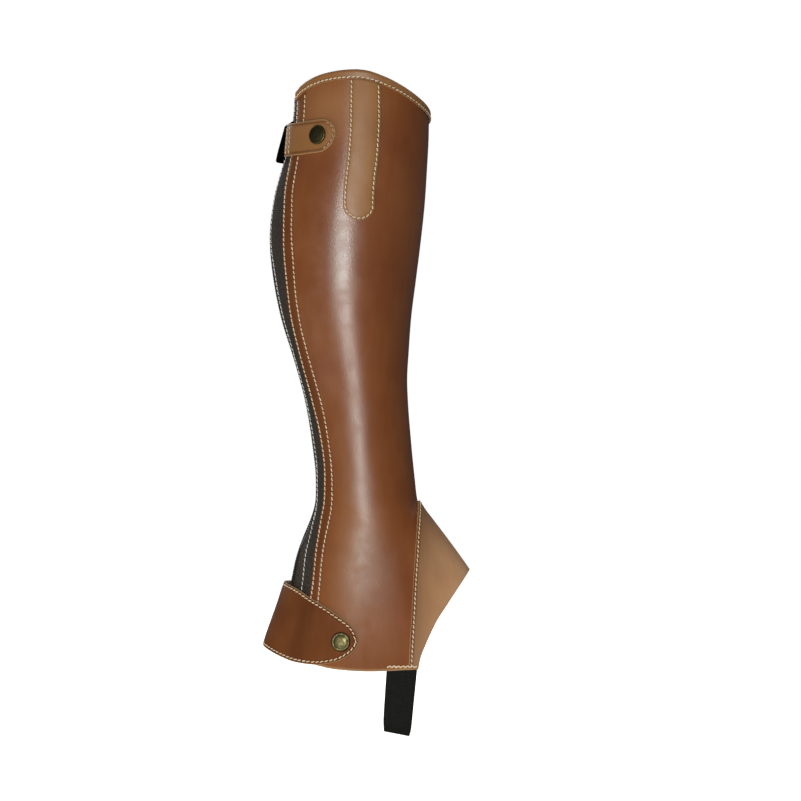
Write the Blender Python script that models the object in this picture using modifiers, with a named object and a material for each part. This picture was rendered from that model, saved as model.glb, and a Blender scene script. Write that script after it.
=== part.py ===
"""Half chap for the right leg: a leather riding gaiter from the top of the calf to the instep, filled out
as worn.

+X points to the toe, -Y to the outer side of the leg and +Z up. The origin is the middle of the leg where
the calf is widest. Sizes in the tables and constants are millimetres, and heights count from the origin. An
angle goes round the leg at one height: 0 at the shin, 90 on the outer side, 180 at the back and 270 on the
inner side. The leather's outer face is the form that every piece is placed on.
"""

import math
from collections import namedtuple
from functools import lru_cache

import bmesh
import bpy
from mathutils import Matrix, Vector

MM = 0.001

# Walls, and the gaps between pieces that are sewn together
LEATHER = 1.8
LAID_ON = 1.6
BINDING = 1.0
ELASTIC = 1.2
TAPE = 1.0
SEAM = 0.3
BUTT_SEAM = 0.55
LAP = 0.35

# Levels on which all pieces that run down the leg have their rows
LEVELS_TOP = 74.0
LEVELS_FOOT = -280.0
Step = namedtuple("Step", "above size")
LEVEL_STEPS = [
    Step(-140, 17.0),
    Step(-178, 9.0),
    Step(-200, 3.6),
    Step(-400, 10.0),
]

# The form: at each height, where it reaches at the back and front, half its width, and where it is widest
Section = namedtuple("Section", "height back front half widest")
FORM = [
    Section(-312, -63.0, 142.5, 43.5, 14),
    Section(-290, -57.4, 126.6, 43.0, 14),
    Section(-271, -50.8, 112.8, 42.0, 14),
    Section(-257, -45.8, 102.7, 41.0, 14),
    Section(-242, -41.2, 91.8, 40.0, 14),
    Section(-228, -37.9, 82.0, 39.0, 14.5),
    Section(-214, -33.1, 71.8, 38.0, 15),
    Section(-200, -27.4, 61.2, 37.0, 16),
    Section(-192, -25.0, 55.2, 36.6, 16),
    Section(-185, -23.5, 51.6, 36.5, 15),
    Section(-171, -23.5, 49.9, 36.5, 14),
    Section(-143, -26.3, 47.1, 38.0, 11),
    Section(-114, -31.3, 44.9, 40.5, 8),
    Section(-100, -34.9, 44.4, 42.5, 6),
    Section(-78, -41.3, 45.6, 45.5, 3),
    Section(-57, -47.7, 47.1, 48.5, 1),
    Section(-28, -53.4, 50.7, 51.8, 0),
    Section(0, -56.3, 54.2, 53.0, 1),
    Section(28, -53.4, 57.1, 53.0, 4),
    Section(50, -47.7, 58.5, 52.2, 8),
    Section(76, -40.6, 59.8, 51.0, 11),
    Section(100, -38.2, 60.0, 50.0, 13),
    Section(124, -37.5, 60.5, 49.3, 14),
]

INSTEP_SOFTNESS = 26.0

# Angles of the outer panel's back edge, and of the elastic's edge along the zip
FRONT_SEAM = 352.0
Back = namedtuple("Back", "height leather elastic")
BACK_EDGES = [
    Back(-312, 128.0, 142.0),
    Back(-252, 131.5, 146.0),
    Back(-232, 133.5, 150.0),
    Back(-212, 137.5, 157.0),
    Back(-195, 141.5, 166.0),
    Back(-175, 140.5, 169.5),
    Back(-155, 139.0, 167.0),
    Back(-136, 140.5, 168.0),
    Back(-114, 145.0, 169.5),
    Back(-90, 146.5, 170.0),
    Back(-60, 145.0, 168.5),
    Back(-30, 142.5, 168.5),
    Back(0, 142.0, 172.0),
    Back(20, 144.0, 174.0),
    Back(40, 148.0, 175.0),
    Back(65, 152.0, 174.0),
    Back(104, 157.0, 176.0),
]

# The panels' top edge and hem, going round the leg
Rim = namedtuple("Rim", "angle height")
TOP_RIM = [
    Rim(-8, 90.6),
    Rim(9, 93.7),
    Rim(27, 98.6),
    Rim(42, 103.7),
    Rim(56, 108.9),
    Rim(72, 114.3),
    Rim(89, 118.5),
    Rim(97, 119.1),
    Rim(106, 118.8),
    Rim(120, 117.2),
    Rim(133, 114.4),
    Rim(147, 109.8),
    Rim(160, 104.9),
    Rim(218, 104.2),
    Rim(232, 99.5),
    Rim(246, 94.0),
    Rim(266, 88.8),
    Rim(300, 86.6),
    Rim(330, 87.8),
    Rim(352, 90.6),
]
HEM_RIM = [
    Rim(0, -304.4),
    Rim(72, -304.4),
    Rim(88, -305.6),
    Rim(104, -304.4),
    Rim(122, -300.0),
    Rim(140, -295.0),
    Rim(160, -289.5),
    Rim(180, -286.5),
    Rim(200, -289.5),
    Rim(220, -295.0),
    Rim(238, -300.0),
    Rim(256, -304.4),
    Rim(272, -305.6),
    Rim(288, -304.4),
    Rim(360, -304.4),
]

Fold = namedtuple("Fold", "out rise")
BINDING_DEPTH = 7.0
BINDING_INNER_DEPTH = 5.3
BINDING_CREST = 1.9
BINDING_FOLD = 0.9
GUSSET_UNDER = 8.0
GUSSET_TOP = 98.4
GUSSET_RISE = 3.0
ZIP_HALF = 15.0
EDGE_DIP = 0.6
ZIP_UNDER = 5.0
CHAIN_HALF = 2.6
CHAIN_RISE = 1.3
CHAIN_WALL = 2.6
ZIP_FOOT = -283.0

# The vamp over the instep, and its free edge over the boot
VAMP_TOP = -186.0
VAMP_TIP = -235.8
VAMP_SEAM_TOP_X = 51.5
VAMP_SEAM_HEM_X = 45.2
VAMP_SEAM_FOOT = -303.0
VAMP_FOOT = -304.4
VAMP_LAP = 6.0
Line = namedtuple("Line", "height x")
VAMP_FREE_EDGE = [
    Line(-304.4, 51.9),
    Line(-296.0, 53.6),
    Line(-286.3, 57.4),
    Line(-270.9, 64.6),
    Line(-258.6, 72.4),
    Line(-246.4, 80.4),
    Line(-235.8, 87.4),
]

PATCH_FOOT = 12.5
PATCH_TOP = 112.0
PATCH_STRAIGHT_ROWS = 7
PATCH_ROUND_ROWS = (15, 30, 45, 58, 70, 81)
Tongue = namedtuple("Tongue", "height centre half")
PATCH = [
    Tongue(12, 10.6, 10.9),
    Tongue(25, 10.0, 10.9),
    Tongue(42, 11.1, 10.9),
    Tongue(57, 12.9, 10.9),
    Tongue(86, 14.5, 10.9),
    Tongue(112, 14.6, 10.6),
]

# The keeper strap over the zip's top: a leather tab, then elastic
TAB_TIP_ANGLE = 108.5
TAB_LENGTH = 46.0
TAB_LEVEL = 70.4
TAB_HALF = 11.8
TAB_RISE = 2.6
TAB_DROP = 1.2
TAB_LEAN = 5.0
TAB_LIFT_FROM = 26.0
TAB_LIFT_OVER = 14.0
TAB_ROUND_COLUMNS = [0.35, 1.4, 3.1, 5.6, 8.6]
TAB_STRAIGHT_COLUMNS = 7
TAB_SNAP_FROM_TIP = 13.0
TAB_SNAP_LEVEL = 72.6
KEEPER_WALL = 1.1
KEEPER_LIFT = 1.45
KEEPER_BULGE = 4.4
KEEPER_CROWN = 0.18
KEEPER_SWELL_FROM = 0.13
KEEPER_SWELL_OVER = 0.7
KEEPER_UNDER = 6.0
KEEPER_DROP = 4.0
KEEPER_END_ANGLE = 232.0

# The heel flap's cut, from its round end on the outer side to its sewn end on the inner side
FlapCut = namedtuple("FlapCut", "angle top bottom")
HEEL_FLAP = [
    FlapCut(93.6, -283.2, -286.6),
    FlapCut(95.1, -277.9, -290.0),
    FlapCut(98.5, -272.8, -294.2),
    FlapCut(106, -266.8, -299.0),
    FlapCut(117, -260.0, -301.0),
    FlapCut(130, -254.0, -299.6),
    FlapCut(143, -248.7, -296.0),
    FlapCut(156, -245.8, -292.4),
    FlapCut(169, -244.2, -289.9),
    FlapCut(180, -243.5, -288.8),
    FlapCut(200, -243.3, -289.8),
    FlapCut(220, -244.5, -293.4),
]
FLAP_SNAP_ANGLE = 103.4
FLAP_SNAP_LEVEL = -284.8

Turning = namedtuple("Turning", "radius rise")
SNAP_RADIUS = 6.85
SNAP_HEIGHT = 2.4
SNAP_PROFILE = [
    Turning(0, 1),
    Turning(0.45, 0.95),
    Turning(0.78, 0.8),
    Turning(0.9, 0.72),
    Turning(1.0, 0.4),
    Turning(0.95, 0.1),
    Turning(0.9, 0),
    Turning(0, 0),
]

# The elastic under the foot
STRAP_BACK_X = 30.2
STRAP_FRONT_X = 51.6
STRAP_FOOT_BACK_X = 27.1
STRAP_FOOT_FRONT_X = 46.6
STRAP_TOP = -295.0
STRAP_FOOT_BACK = -348.9
STRAP_FOOT_FRONT = -352.4
STRAP_TURN = 15.0
STRAP_DROP_ROWS = 5
STRAP_TURN_ROWS = 5
STRAP_FLAT_ROWS = 8
STRAP_WALL = 1.6

SLIDER_LEVEL = 72.0
SLIDER_CLEAR = 0.7
SLIDER_SIZE = (8.4, 10.0, 2.2)
PULL_SIZE = (6.0, 15.0, 1.2)
PULL_BELOW = 5.0
METAL_TAPER = 0.72
METAL_ROUNDING = 0.45


def lerp(a, b, share):
    return a + (b - a) * share


def between(rows, key, column):
    """One named column of a table, read between its rows on a smooth curve that doesn't overshoot them."""
    keys = [row[0] for row in rows]
    values = [getattr(row, column) for row in rows]
    if key <= keys[0]:
        return values[0]
    if key >= keys[-1]:
        return values[-1]
    slopes = [(b - a) / (k - j) for a, b, j, k in zip(values, values[1:], keys, keys[1:])]
    i = next(n for n in range(len(slopes)) if key <= keys[n + 1])

    def tangent(n):
        if n == 0 or n == len(slopes):
            return slopes[min(n, len(slopes) - 1)]
        before, after = slopes[n - 1], slopes[n]
        return 2 * before * after / (before + after) if before * after > 0 else 0.0

    width = keys[i + 1] - keys[i]
    t = (key - keys[i]) / width
    bend = (1 - t) * tangent(i) * width * t * (1 - t) - t * tangent(i + 1) * width * t * (1 - t)
    return values[i] * (1 + 2 * t) * (1 - t) ** 2 + values[i + 1] * t * t * (3 - 2 * t) + bend


@lru_cache(maxsize=None)
def section(height):
    return Section(height, *(between(FORM, height, name) for name in Section._fields[1:]))


def front_reach(angle, height):
    """The ridge bends sharply where the instep starts, and the sides of the leg below it bend more softly."""
    spread = INSTEP_SOFTNESS * math.sin(math.radians(angle)) ** 2
    parts = ((-1, 1), (-0.5, 2), (0, 2), (0.5, 2), (1, 1))
    return sum(weight * section(height + share * spread).front for share, weight in parts) / 8


def form(angle, height):
    """A point of the leather's outer face: half an ellipse in front of the widest line, and half behind it."""
    across = section(height)
    cosine = math.cos(math.radians(angle))
    tip = front_reach(angle, height) if cosine > 0 else across.back
    x = across.widest + abs(tip - across.widest) * cosine
    return Vector((x, -across.half * math.sin(math.radians(angle)), height))


def outward(angle, height):
    round_leg = form(angle + 1, height) - form(angle - 1, height)
    downwards = form(angle, height - 1) - form(angle, height + 1)
    return round_leg.cross(downwards).normalized()


def place(angle, height, out):
    return form(angle, height) + outward(angle, height) * out


@lru_cache(maxsize=None)
def angle_at(x, height):
    """The angle on the outer side at which the form is seen at x from the side."""
    low, high = 0.0, 180.0
    for _ in range(26):
        middle = (low + high) / 2
        if form(middle, height).x > x:
            low = middle
        else:
            high = middle
    return high if high > 1e-4 else 0.0


def turned(angle, height, distance):
    """The angle reached from another one by going a distance round the leg."""
    end = angle
    for _ in range(3):
        middle = (angle + end) / 2
        per_degree = (form(middle + 0.5, height) - form(middle - 0.5, height)).length
        end = angle + distance / per_degree
    return end


def even(count):
    return [n / count for n in range(count + 1)]


def down_the_leg():
    """Rows of the pieces that run down the leg: 0 at the top, 1 to 2 on the shared levels, 3 at the foot."""
    levels = [LEVELS_TOP]
    while levels[-1] > LEVELS_FOOT + 1:
        size = next(step.size for step in LEVEL_STEPS if levels[-1] > step.above)
        levels.append(max(LEVELS_FOOT, levels[-1] - size))
    shares = [(LEVELS_TOP - level) / (LEVELS_TOP - LEVELS_FOOT) for level in levels]
    return [0, 0.34, 0.67] + [1 + share for share in shares] + [2.5, 3]


def level_of(row, top, foot):
    """Height of a row: the shared levels are at the same height on every piece, so that layers stay apart."""
    if row < 1:
        return lerp(top, LEVELS_TOP, row)
    if row <= 2:
        return lerp(LEVELS_TOP, LEVELS_FOOT, row - 1)
    return lerp(LEVELS_FOOT, foot, row - 2)


LEG_ROWS = down_the_leg()


@lru_cache(maxsize=None)
def panel_front(height):
    """Front edge of the outer panel: the shin's seam, and below the ankle a line under the vamp's seam."""
    under = vamp_seam_x(height) + VAMP_LAP
    if height < VAMP_TOP and under < between(FORM, height, "front"):
        return angle_at(under, height)
    return FRONT_SEAM - 360


def vamp_seam_x(height):
    return lerp(VAMP_SEAM_TOP_X, VAMP_SEAM_HEM_X, (VAMP_TOP - height) / (VAMP_TOP - VAMP_SEAM_FOOT))


def leather_edge(height):
    return between(BACK_EDGES, height, "leather")


def elastic_edge(height):
    return between(BACK_EDGES, height, "elastic")


@lru_cache(maxsize=None)
def zip_line(height):
    return turned(elastic_edge(height), height, ZIP_HALF)


@lru_cache(maxsize=None)
def medial_edge(height):
    return turned(elastic_edge(height), height, 2 * ZIP_HALF)


def zip_depth(angle, height):
    """The zip climbs from under the elastic to under the inner panel."""
    start, end = elastic_edge(height), medial_edge(height)
    share = max(0.0, min(1.0, (angle - start) / (end - start)))
    under_leather = -LEATHER - SEAM
    return lerp(under_leather - ELASTIC - SEAM, under_leather - EDGE_DIP, share)


def back_top(angle):
    """The elastic and the zip stand a little higher between the leather edges than under them."""
    start, end = leather_edge(GUSSET_TOP), medial_edge(GUSSET_TOP)
    return GUSSET_TOP + GUSSET_RISE * max(0.0, min(1.0, (angle - start) / 3, (end - angle) / 3))


def panel_top(angle):
    return between(TOP_RIM, angle, "height") - BINDING_CREST


def hem(angle):
    return between(HEM_RIM, angle if angle >= 0 else -angle, "height")


def settle(u, row, first, last, top, foot):
    """Angle and height of a point of a piece whose sides depend on the height and whose ends on the angle."""
    angle = 90.0
    for _ in range(12):
        height = level_of(row, top(angle), foot(angle))
        angle = lerp(first(height), last(height), u)
    return angle, height


def srgb(red, green, blue):
    return [(value / 255) ** 2.2 for value in (red, green, blue)] + [1.0]


def principled(name, colour, roughness, metallic=0.0):
    material = bpy.data.materials.new(name)
    material.use_nodes = True
    shader = material.node_tree.nodes["Principled BSDF"]
    shader.inputs["Base Color"].default_value = srgb(*colour)
    shader.inputs["Roughness"].default_value = roughness
    shader.inputs["Metallic"].default_value = metallic
    material.diffuse_color = srgb(*colour)
    return material


def add(name, sheet, material):
    mesh = bpy.data.meshes.new(name)
    sheet.to_mesh(mesh)
    sheet.free()
    mesh.shade_smooth()
    mesh.set_sharp_from_angle(angle=math.radians(40))
    mesh.materials.append(material)
    obj = bpy.data.objects.new(name, mesh)
    PARTS.objects.link(obj)
    return obj


def cloth(name, material, wall, columns, rows, point):
    """A sewn piece: point(u, v) is its outer face, u round the leg and v down it. The wall grows inwards."""
    sheet = bmesh.new()
    bmesh.ops.create_grid(sheet, x_segments=len(columns) - 1, y_segments=len(rows) - 1, size=0.5)
    for vert in sheet.verts:
        u = columns[round((vert.co.x + 0.5) * (len(columns) - 1))]
        v = rows[round((vert.co.y + 0.5) * (len(rows) - 1))]
        vert.co = MM * point(u, v)
    obj = add(name, sheet, material)
    solidify = obj.modifiers.new("Wall", "SOLIDIFY")
    solidify.thickness = wall * MM
    solidify.offset = -1
    solidify.use_even_offset = True
    return obj


def stand_on(obj, angle, height, out):
    """Puts an object's base on the form, with its own +Z outwards and its own +Y up the leg."""
    normal = outward(angle, height)
    up = Vector((0, 0, 1))
    across = up.cross(normal).normalized()
    upright = normal.cross(across)
    turn = Matrix((across, upright, normal)).transposed().to_4x4()
    obj.matrix_world = Matrix.Translation(MM * place(angle, height, out)) @ turn


def leather_panels(leather):
    def lateral(u, v):
        return place(*settle(u, v, panel_front, leather_edge, panel_top, hem), 0)

    def medial_front(height):
        """The inner panel meets the outer one at the shin, and ends under the vamp as that one does."""
        lateral_front = panel_front(height)
        front = FRONT_SEAM if lateral_front == FRONT_SEAM - 360 else 360 - lateral_front
        return turned(front, height, -BUTT_SEAM)

    def medial(u, v):
        dip = EDGE_DIP if u == 0 and v >= 1 else 0
        return place(*settle(u, v, medial_edge, medial_front, panel_top, hem), -dip)

    cloth("lateral_panel", leather, LEATHER, even(20), LEG_ROWS, lateral)
    cloth("medial_panel", leather, LEATHER, even(20), LEG_ROWS, medial)


def back_closing(elastic, tape, metal):
    under = -LEATHER - SEAM

    def gusset_start(height):
        return turned(leather_edge(height), height, -GUSSET_UNDER)

    def gusset(u, v):
        return place(*settle(u, v, gusset_start, elastic_edge, back_top, lambda angle: hem(angle) + 1), under)

    def strip(first, last, rise):
        def point(u, v):
            angle, height = settle(
                u,
                v,
                lambda height: turned(zip_line(height), height, first),
                lambda height: turned(zip_line(height), height, last),
                back_top,
                lambda angle: ZIP_FOOT,
            )
            return place(angle, height, zip_depth(angle, height) + rise)

        return point

    cloth("elastic_gusset", elastic, ELASTIC, even(6), LEG_ROWS, gusset)
    edge = CHAIN_HALF + BUTT_SEAM
    lateral = strip(-ZIP_HALF - ZIP_UNDER, -edge, 0)
    medial = strip(edge, ZIP_HALF + ZIP_UNDER, 0)
    chain = strip(-CHAIN_HALF, CHAIN_HALF, CHAIN_RISE)
    cloth("zip_tape_lateral", tape, TAPE, even(2), LEG_ROWS, lateral)
    cloth("zip_tape_medial", tape, TAPE, even(3), LEG_ROWS, medial)
    cloth("zip_chain", tape, CHAIN_WALL, even(1), LEG_ROWS, chain)
    zip_slider(metal)


def zip_slider(metal):
    angle = zip_line(SLIDER_LEVEL)
    seat = zip_depth(angle, SLIDER_LEVEL) + CHAIN_RISE + SLIDER_CLEAR
    for name, size, level, lift in (
        ("zip_slider", SLIDER_SIZE, SLIDER_LEVEL, 0),
        ("zip_pull", PULL_SIZE, SLIDER_LEVEL - PULL_BELOW, SLIDER_SIZE[2] + SEAM),
    ):
        block = bmesh.new()
        bmesh.ops.create_cube(block, size=1)
        for vert in block.verts:
            narrow = METAL_TAPER if vert.co.y < 0 else 1.0
            vert.co.x *= size[0] * MM * narrow
            vert.co.y *= size[1] * MM
            vert.co.z = (vert.co.z + 0.5) * size[2] * MM
        obj = add(name, block, metal)
        bevel = obj.modifiers.new("Round edges", "BEVEL")
        bevel.width = METAL_ROUNDING * MM
        bevel.segments = 2
        stand_on(obj, zip_line(level), level, seat + lift)


def top_binding(leather):
    """A strip folded over the panels' top edge, from one side of the zip round the shin to the other."""
    inside = -LEATHER - SEAM - BINDING
    outside = SEAM + BINDING
    fold = [
        Fold(inside, BINDING_CREST - BINDING_INNER_DEPTH),
        Fold(inside, BINDING_CREST - 2 * BINDING_FOLD),
        Fold(inside + BINDING_FOLD, BINDING_CREST),
        Fold(outside - BINDING_FOLD, BINDING_CREST),
        Fold(outside, BINDING_CREST - 2 * BINDING_FOLD),
        Fold(outside, BINDING_CREST - BINDING_DEPTH),
    ]

    def point(u, v):
        top = panel_top(90)
        for _ in range(6):
            angle = lerp(medial_edge(top) - 360, leather_edge(top), u)
            top = panel_top(angle if angle >= FRONT_SEAM - 360 else angle + 360)
        corner = fold[round(v * (len(fold) - 1))]
        return place(angle, top + corner.rise, corner.out)

    cloth("top_binding", leather, BINDING, even(46), even(len(fold) - 1), point)


def side_patch(leather):
    """A tongue of leather down the outer side, with its foot cut to a half circle."""
    rows = even(PATCH_STRAIGHT_ROWS + len(PATCH_ROUND_ROWS))
    radius = PATCH[0].half
    shoulder = PATCH_FOOT + radius

    def point(u, v):
        row = round(v * (len(rows) - 1))
        if row <= PATCH_STRAIGHT_ROWS:
            height = lerp(PATCH_TOP, shoulder, row / PATCH_STRAIGHT_ROWS)
            half = between(PATCH, height, "half")
        else:
            bend = math.radians(PATCH_ROUND_ROWS[row - PATCH_STRAIGHT_ROWS - 1])
            height = shoulder - radius * math.sin(bend)
            half = radius * math.cos(bend)
        x = between(PATCH, height, "centre") - half * (2 * u - 1)
        angle = angle_at(x, height)
        if row == 0:
            height = between(TOP_RIM, angle, "height") - BINDING_DEPTH - SEAM
            angle = angle_at(x, height)
        return place(angle, height, LAP + LAID_ON)

    cloth("side_patch", leather, LAID_ON, even(5), rows, point)


def tab_column(distance):
    """Half the width of the strap's leather end at a distance from its round tip."""
    return TAB_HALF * math.sqrt(max(0.0, 1 - max(0.0, 1 - distance / TAB_HALF) ** 2))


def keeper_strap(leather, elastic):
    """The strap over the zip's top: a leather end with a press stud, on elastic that wraps round the back."""
    straight = [lerp(TAB_HALF, TAB_LENGTH, n / TAB_STRAIGHT_COLUMNS) for n in range(TAB_STRAIGHT_COLUMNS + 1)]
    columns = [distance / TAB_LENGTH for distance in TAB_ROUND_COLUMNS + straight]
    low = LAP + KEEPER_WALL

    def tab(u, v):
        distance = u * TAB_LENGTH
        height = TAB_LEVEL + lerp(TAB_RISE, -TAB_DROP, u) + tab_column(distance) * (1 - 2 * v)
        angle = turned(TAB_TIP_ANGLE, TAB_LEVEL, distance) + TAB_LEAN * u * (1 - 2 * v)
        lifted = max(0.0, min(1.0, (distance - TAB_LIFT_FROM) / TAB_LIFT_OVER))
        return place(angle, height, LAP + LAID_ON + KEEPER_LIFT * lifted)

    def band(u, v):
        tuck = turned(TAB_TIP_ANGLE, TAB_LEVEL, TAB_LENGTH - KEEPER_UNDER)
        angle = lerp(tuck + TAB_LEAN * (1 - 2 * v), KEEPER_END_ANGLE, u)
        middle = TAB_LEVEL - lerp(TAB_DROP - TAB_RISE, KEEPER_DROP, min(1, 2 * u))
        swell = math.sin(math.pi * max(0.0, min(1.0, (u - KEEPER_SWELL_FROM) / KEEPER_SWELL_OVER))) ** 0.8
        crown = 1 - KEEPER_CROWN * (2 * v - 1) ** 2
        return place(angle, middle + TAB_HALF * (1 - 2 * v), low + (KEEPER_BULGE * crown - low) * swell)

    cloth("snap_tab", leather, LAID_ON, columns, even(5), tab)
    cloth("tab_elastic", elastic, KEEPER_WALL, even(16), even(3), band)


def heel_flap(leather):
    first, last = HEEL_FLAP[0].angle, HEEL_FLAP[-1].angle

    def point(u, v):
        angle = lerp(first, last, u**1.3)
        height = lerp(between(HEEL_FLAP, angle, "top"), between(HEEL_FLAP, angle, "bottom"), v)
        return place(angle, height, LAP + LAID_ON)

    cloth("heel_flap", leather, LAID_ON, even(22), even(5), point)


def vamp(leather):
    """The tongue over the instep: arches from the seam on the panels to the free edge over the boot."""

    def seam(share):
        height = lerp(VAMP_TOP, VAMP_SEAM_FOOT, share**2)
        return angle_at(vamp_seam_x(height), height), height

    def free_edge(share):
        height = lerp(VAMP_TIP, VAMP_FOOT, share**1.7)
        return angle_at(between(VAMP_FREE_EDGE, height, "x"), height), height

    def point(u, v):
        side = 2 * u - 1
        (seam_angle, seam_height), (edge_angle, edge_height) = seam(abs(side)), free_edge(abs(side))
        half_angle = lerp(edge_angle, seam_angle, v)
        angle = 0.0 if abs(side) < 1e-6 else math.copysign(half_angle, -side)
        return place(angle, lerp(edge_height, seam_height, v), LAP + LAID_ON)

    cloth("vamp", leather, LAID_ON, even(24), even(8), point)


def foot_strap(elastic):
    """Elastic under the foot, sewn inside the hem on both sides."""
    turn_ends = STRAP_DROP_ROWS + STRAP_TURN_ROWS
    rows = 2 * turn_ends + STRAP_FLAT_ROWS

    def point(u, v):
        row = round(v * rows)
        side = -1 if row <= rows / 2 else 1
        row = min(row, rows - row)
        lowest = lerp(STRAP_FOOT_FRONT, STRAP_FOOT_BACK, u)
        bend = math.radians(90 * max(0, min(STRAP_TURN_ROWS, row - STRAP_DROP_ROWS)) / STRAP_TURN_ROWS)
        height = lowest + STRAP_TURN * (1 - math.sin(bend))
        if row < STRAP_DROP_ROWS:
            height = lerp(STRAP_TOP, height, row / STRAP_DROP_ROWS)
        sewn_at = max(height, VAMP_FOOT)
        x = lerp(STRAP_FRONT_X, STRAP_BACK_X, u)
        sewn = place(angle_at(x, sewn_at), sewn_at, -LEATHER - SEAM)
        half = -sewn.y
        inset = STRAP_TURN * (1 - math.cos(bend))
        if row > turn_ends:
            inset = lerp(STRAP_TURN, half, (row - turn_ends) / (STRAP_FLAT_ROWS / 2))
        foot_x = lerp(STRAP_FOOT_FRONT_X, STRAP_FOOT_BACK_X, u)
        sunk = max(0.0, (VAMP_FOOT - height) / (VAMP_FOOT - lowest))
        return Vector((lerp(sewn.x, foot_x, sunk), side * (half - inset), height))

    cloth("foot_strap", elastic, STRAP_WALL, even(3), even(rows), point)


def snap_cap(name, metal, angle, height):
    """A press stud's cap: a turned dome with a rolled rim."""
    mesh = bmesh.new()
    width, rise = SNAP_RADIUS * MM, SNAP_HEIGHT * MM
    points = [mesh.verts.new((turning.radius * width, 0, turning.rise * rise)) for turning in SNAP_PROFILE]
    for first, second in zip(points, points[1:]):
        mesh.edges.new((first, second))
    obj = add(name, mesh, metal)
    screw = obj.modifiers.new("Turn", "SCREW")
    screw.steps = 20
    screw.render_steps = 20
    screw.use_merge_vertices = True
    screw.merge_threshold = 0.00005
    stand_on(obj, angle, height, 2 * LAP + LAID_ON)


def build():
    for obj in list(bpy.data.objects):
        bpy.data.objects.remove(obj)
    bpy.context.scene.collection.children.link(PARTS)
    leather = principled("brown_leather", (125, 78, 48), 0.35)
    trim = principled("tan_leather", (140, 95, 60), 0.4)
    elastic = principled("ribbed_elastic", (62, 52, 50), 0.9)
    black_elastic = principled("black_elastic", (30, 27, 26), 0.85)
    tape = principled("zip_tape", (35, 32, 30), 0.8)
    brass = principled("antique_brass", (130, 118, 84), 0.4, 1.0)
    leather_panels(leather)
    back_closing(elastic, tape, brass)
    top_binding(trim)
    side_patch(trim)
    keeper_strap(trim, black_elastic)
    heel_flap(leather)
    vamp(trim)
    foot_strap(black_elastic)
    snap_cap("snap_cap_top", brass, turned(TAB_TIP_ANGLE, TAB_LEVEL, TAB_SNAP_FROM_TIP), TAB_SNAP_LEVEL)
    snap_cap("snap_cap_bottom", brass, FLAP_SNAP_ANGLE, FLAP_SNAP_LEVEL)


PARTS = bpy.data.collections.new("half_chap")
build()
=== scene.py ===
"""Looks of the half chap: fine leather, elastic, zip, sewing and press studs in place of the frame's solids.

Lengths are millimetres and angles are degrees, and MM turns millimetres into the frame's metres. +X points to
the toe, -Y to the outer side and +Z up. An angle goes round the leg at one height: 0 at the shin, 90 on the
outer side, 180 at the back and 270 on the inner side. Most functions take and return numpy arrays. A line on
the leg is either a pair of arrays, its angles and heights, or a function that gives its angle at each height.
"""

import math
import random
from collections import namedtuple

import bmesh
import bpy
import numpy as np
from mathutils import Matrix, Vector


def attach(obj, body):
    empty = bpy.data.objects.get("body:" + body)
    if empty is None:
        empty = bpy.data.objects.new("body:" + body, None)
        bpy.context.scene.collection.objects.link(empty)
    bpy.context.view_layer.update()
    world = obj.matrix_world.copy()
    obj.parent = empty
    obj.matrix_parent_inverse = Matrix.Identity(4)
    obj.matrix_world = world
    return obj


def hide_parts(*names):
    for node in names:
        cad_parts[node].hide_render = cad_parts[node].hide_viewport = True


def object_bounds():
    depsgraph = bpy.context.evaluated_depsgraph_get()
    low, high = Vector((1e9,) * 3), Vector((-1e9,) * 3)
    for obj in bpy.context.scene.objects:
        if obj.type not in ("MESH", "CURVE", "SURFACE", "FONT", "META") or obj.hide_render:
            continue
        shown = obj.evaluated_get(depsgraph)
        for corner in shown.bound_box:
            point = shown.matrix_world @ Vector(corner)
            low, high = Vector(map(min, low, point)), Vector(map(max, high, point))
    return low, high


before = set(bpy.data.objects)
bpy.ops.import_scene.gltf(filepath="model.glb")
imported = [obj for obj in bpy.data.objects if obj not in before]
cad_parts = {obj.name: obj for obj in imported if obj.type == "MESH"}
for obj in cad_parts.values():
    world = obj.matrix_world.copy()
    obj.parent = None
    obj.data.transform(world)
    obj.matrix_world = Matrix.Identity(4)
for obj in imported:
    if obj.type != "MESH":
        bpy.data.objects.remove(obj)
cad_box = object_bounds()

MM = 0.001


def table(columns, *rows):
    """Rows whose values also go by the names of their columns."""
    row_kind = namedtuple("Row", columns)
    return [row_kind(*row) for row in rows]


# Walls, how far the pieces lie apart, and how wide their edges are rounded
LEATHER = 1.8
LAID_ON = 1.6
BINDING = 1.0
ELASTIC = 1.2
TAPE = 1.0
SEAM = 0.3
LAP = 0.35
LEATHER_ROUNDING = 0.35
THIN_ROUNDING = 0.25
TAPE_ROUNDING = 0.2
STRAP_ROUNDING = 0.3
METAL_ROUNDING = 0.3

# How far out the first layer under the leather and the face of a laid-on piece lie
UNDER = -LEATHER - SEAM
LAID_FACE = LAP + LAID_ON

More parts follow.
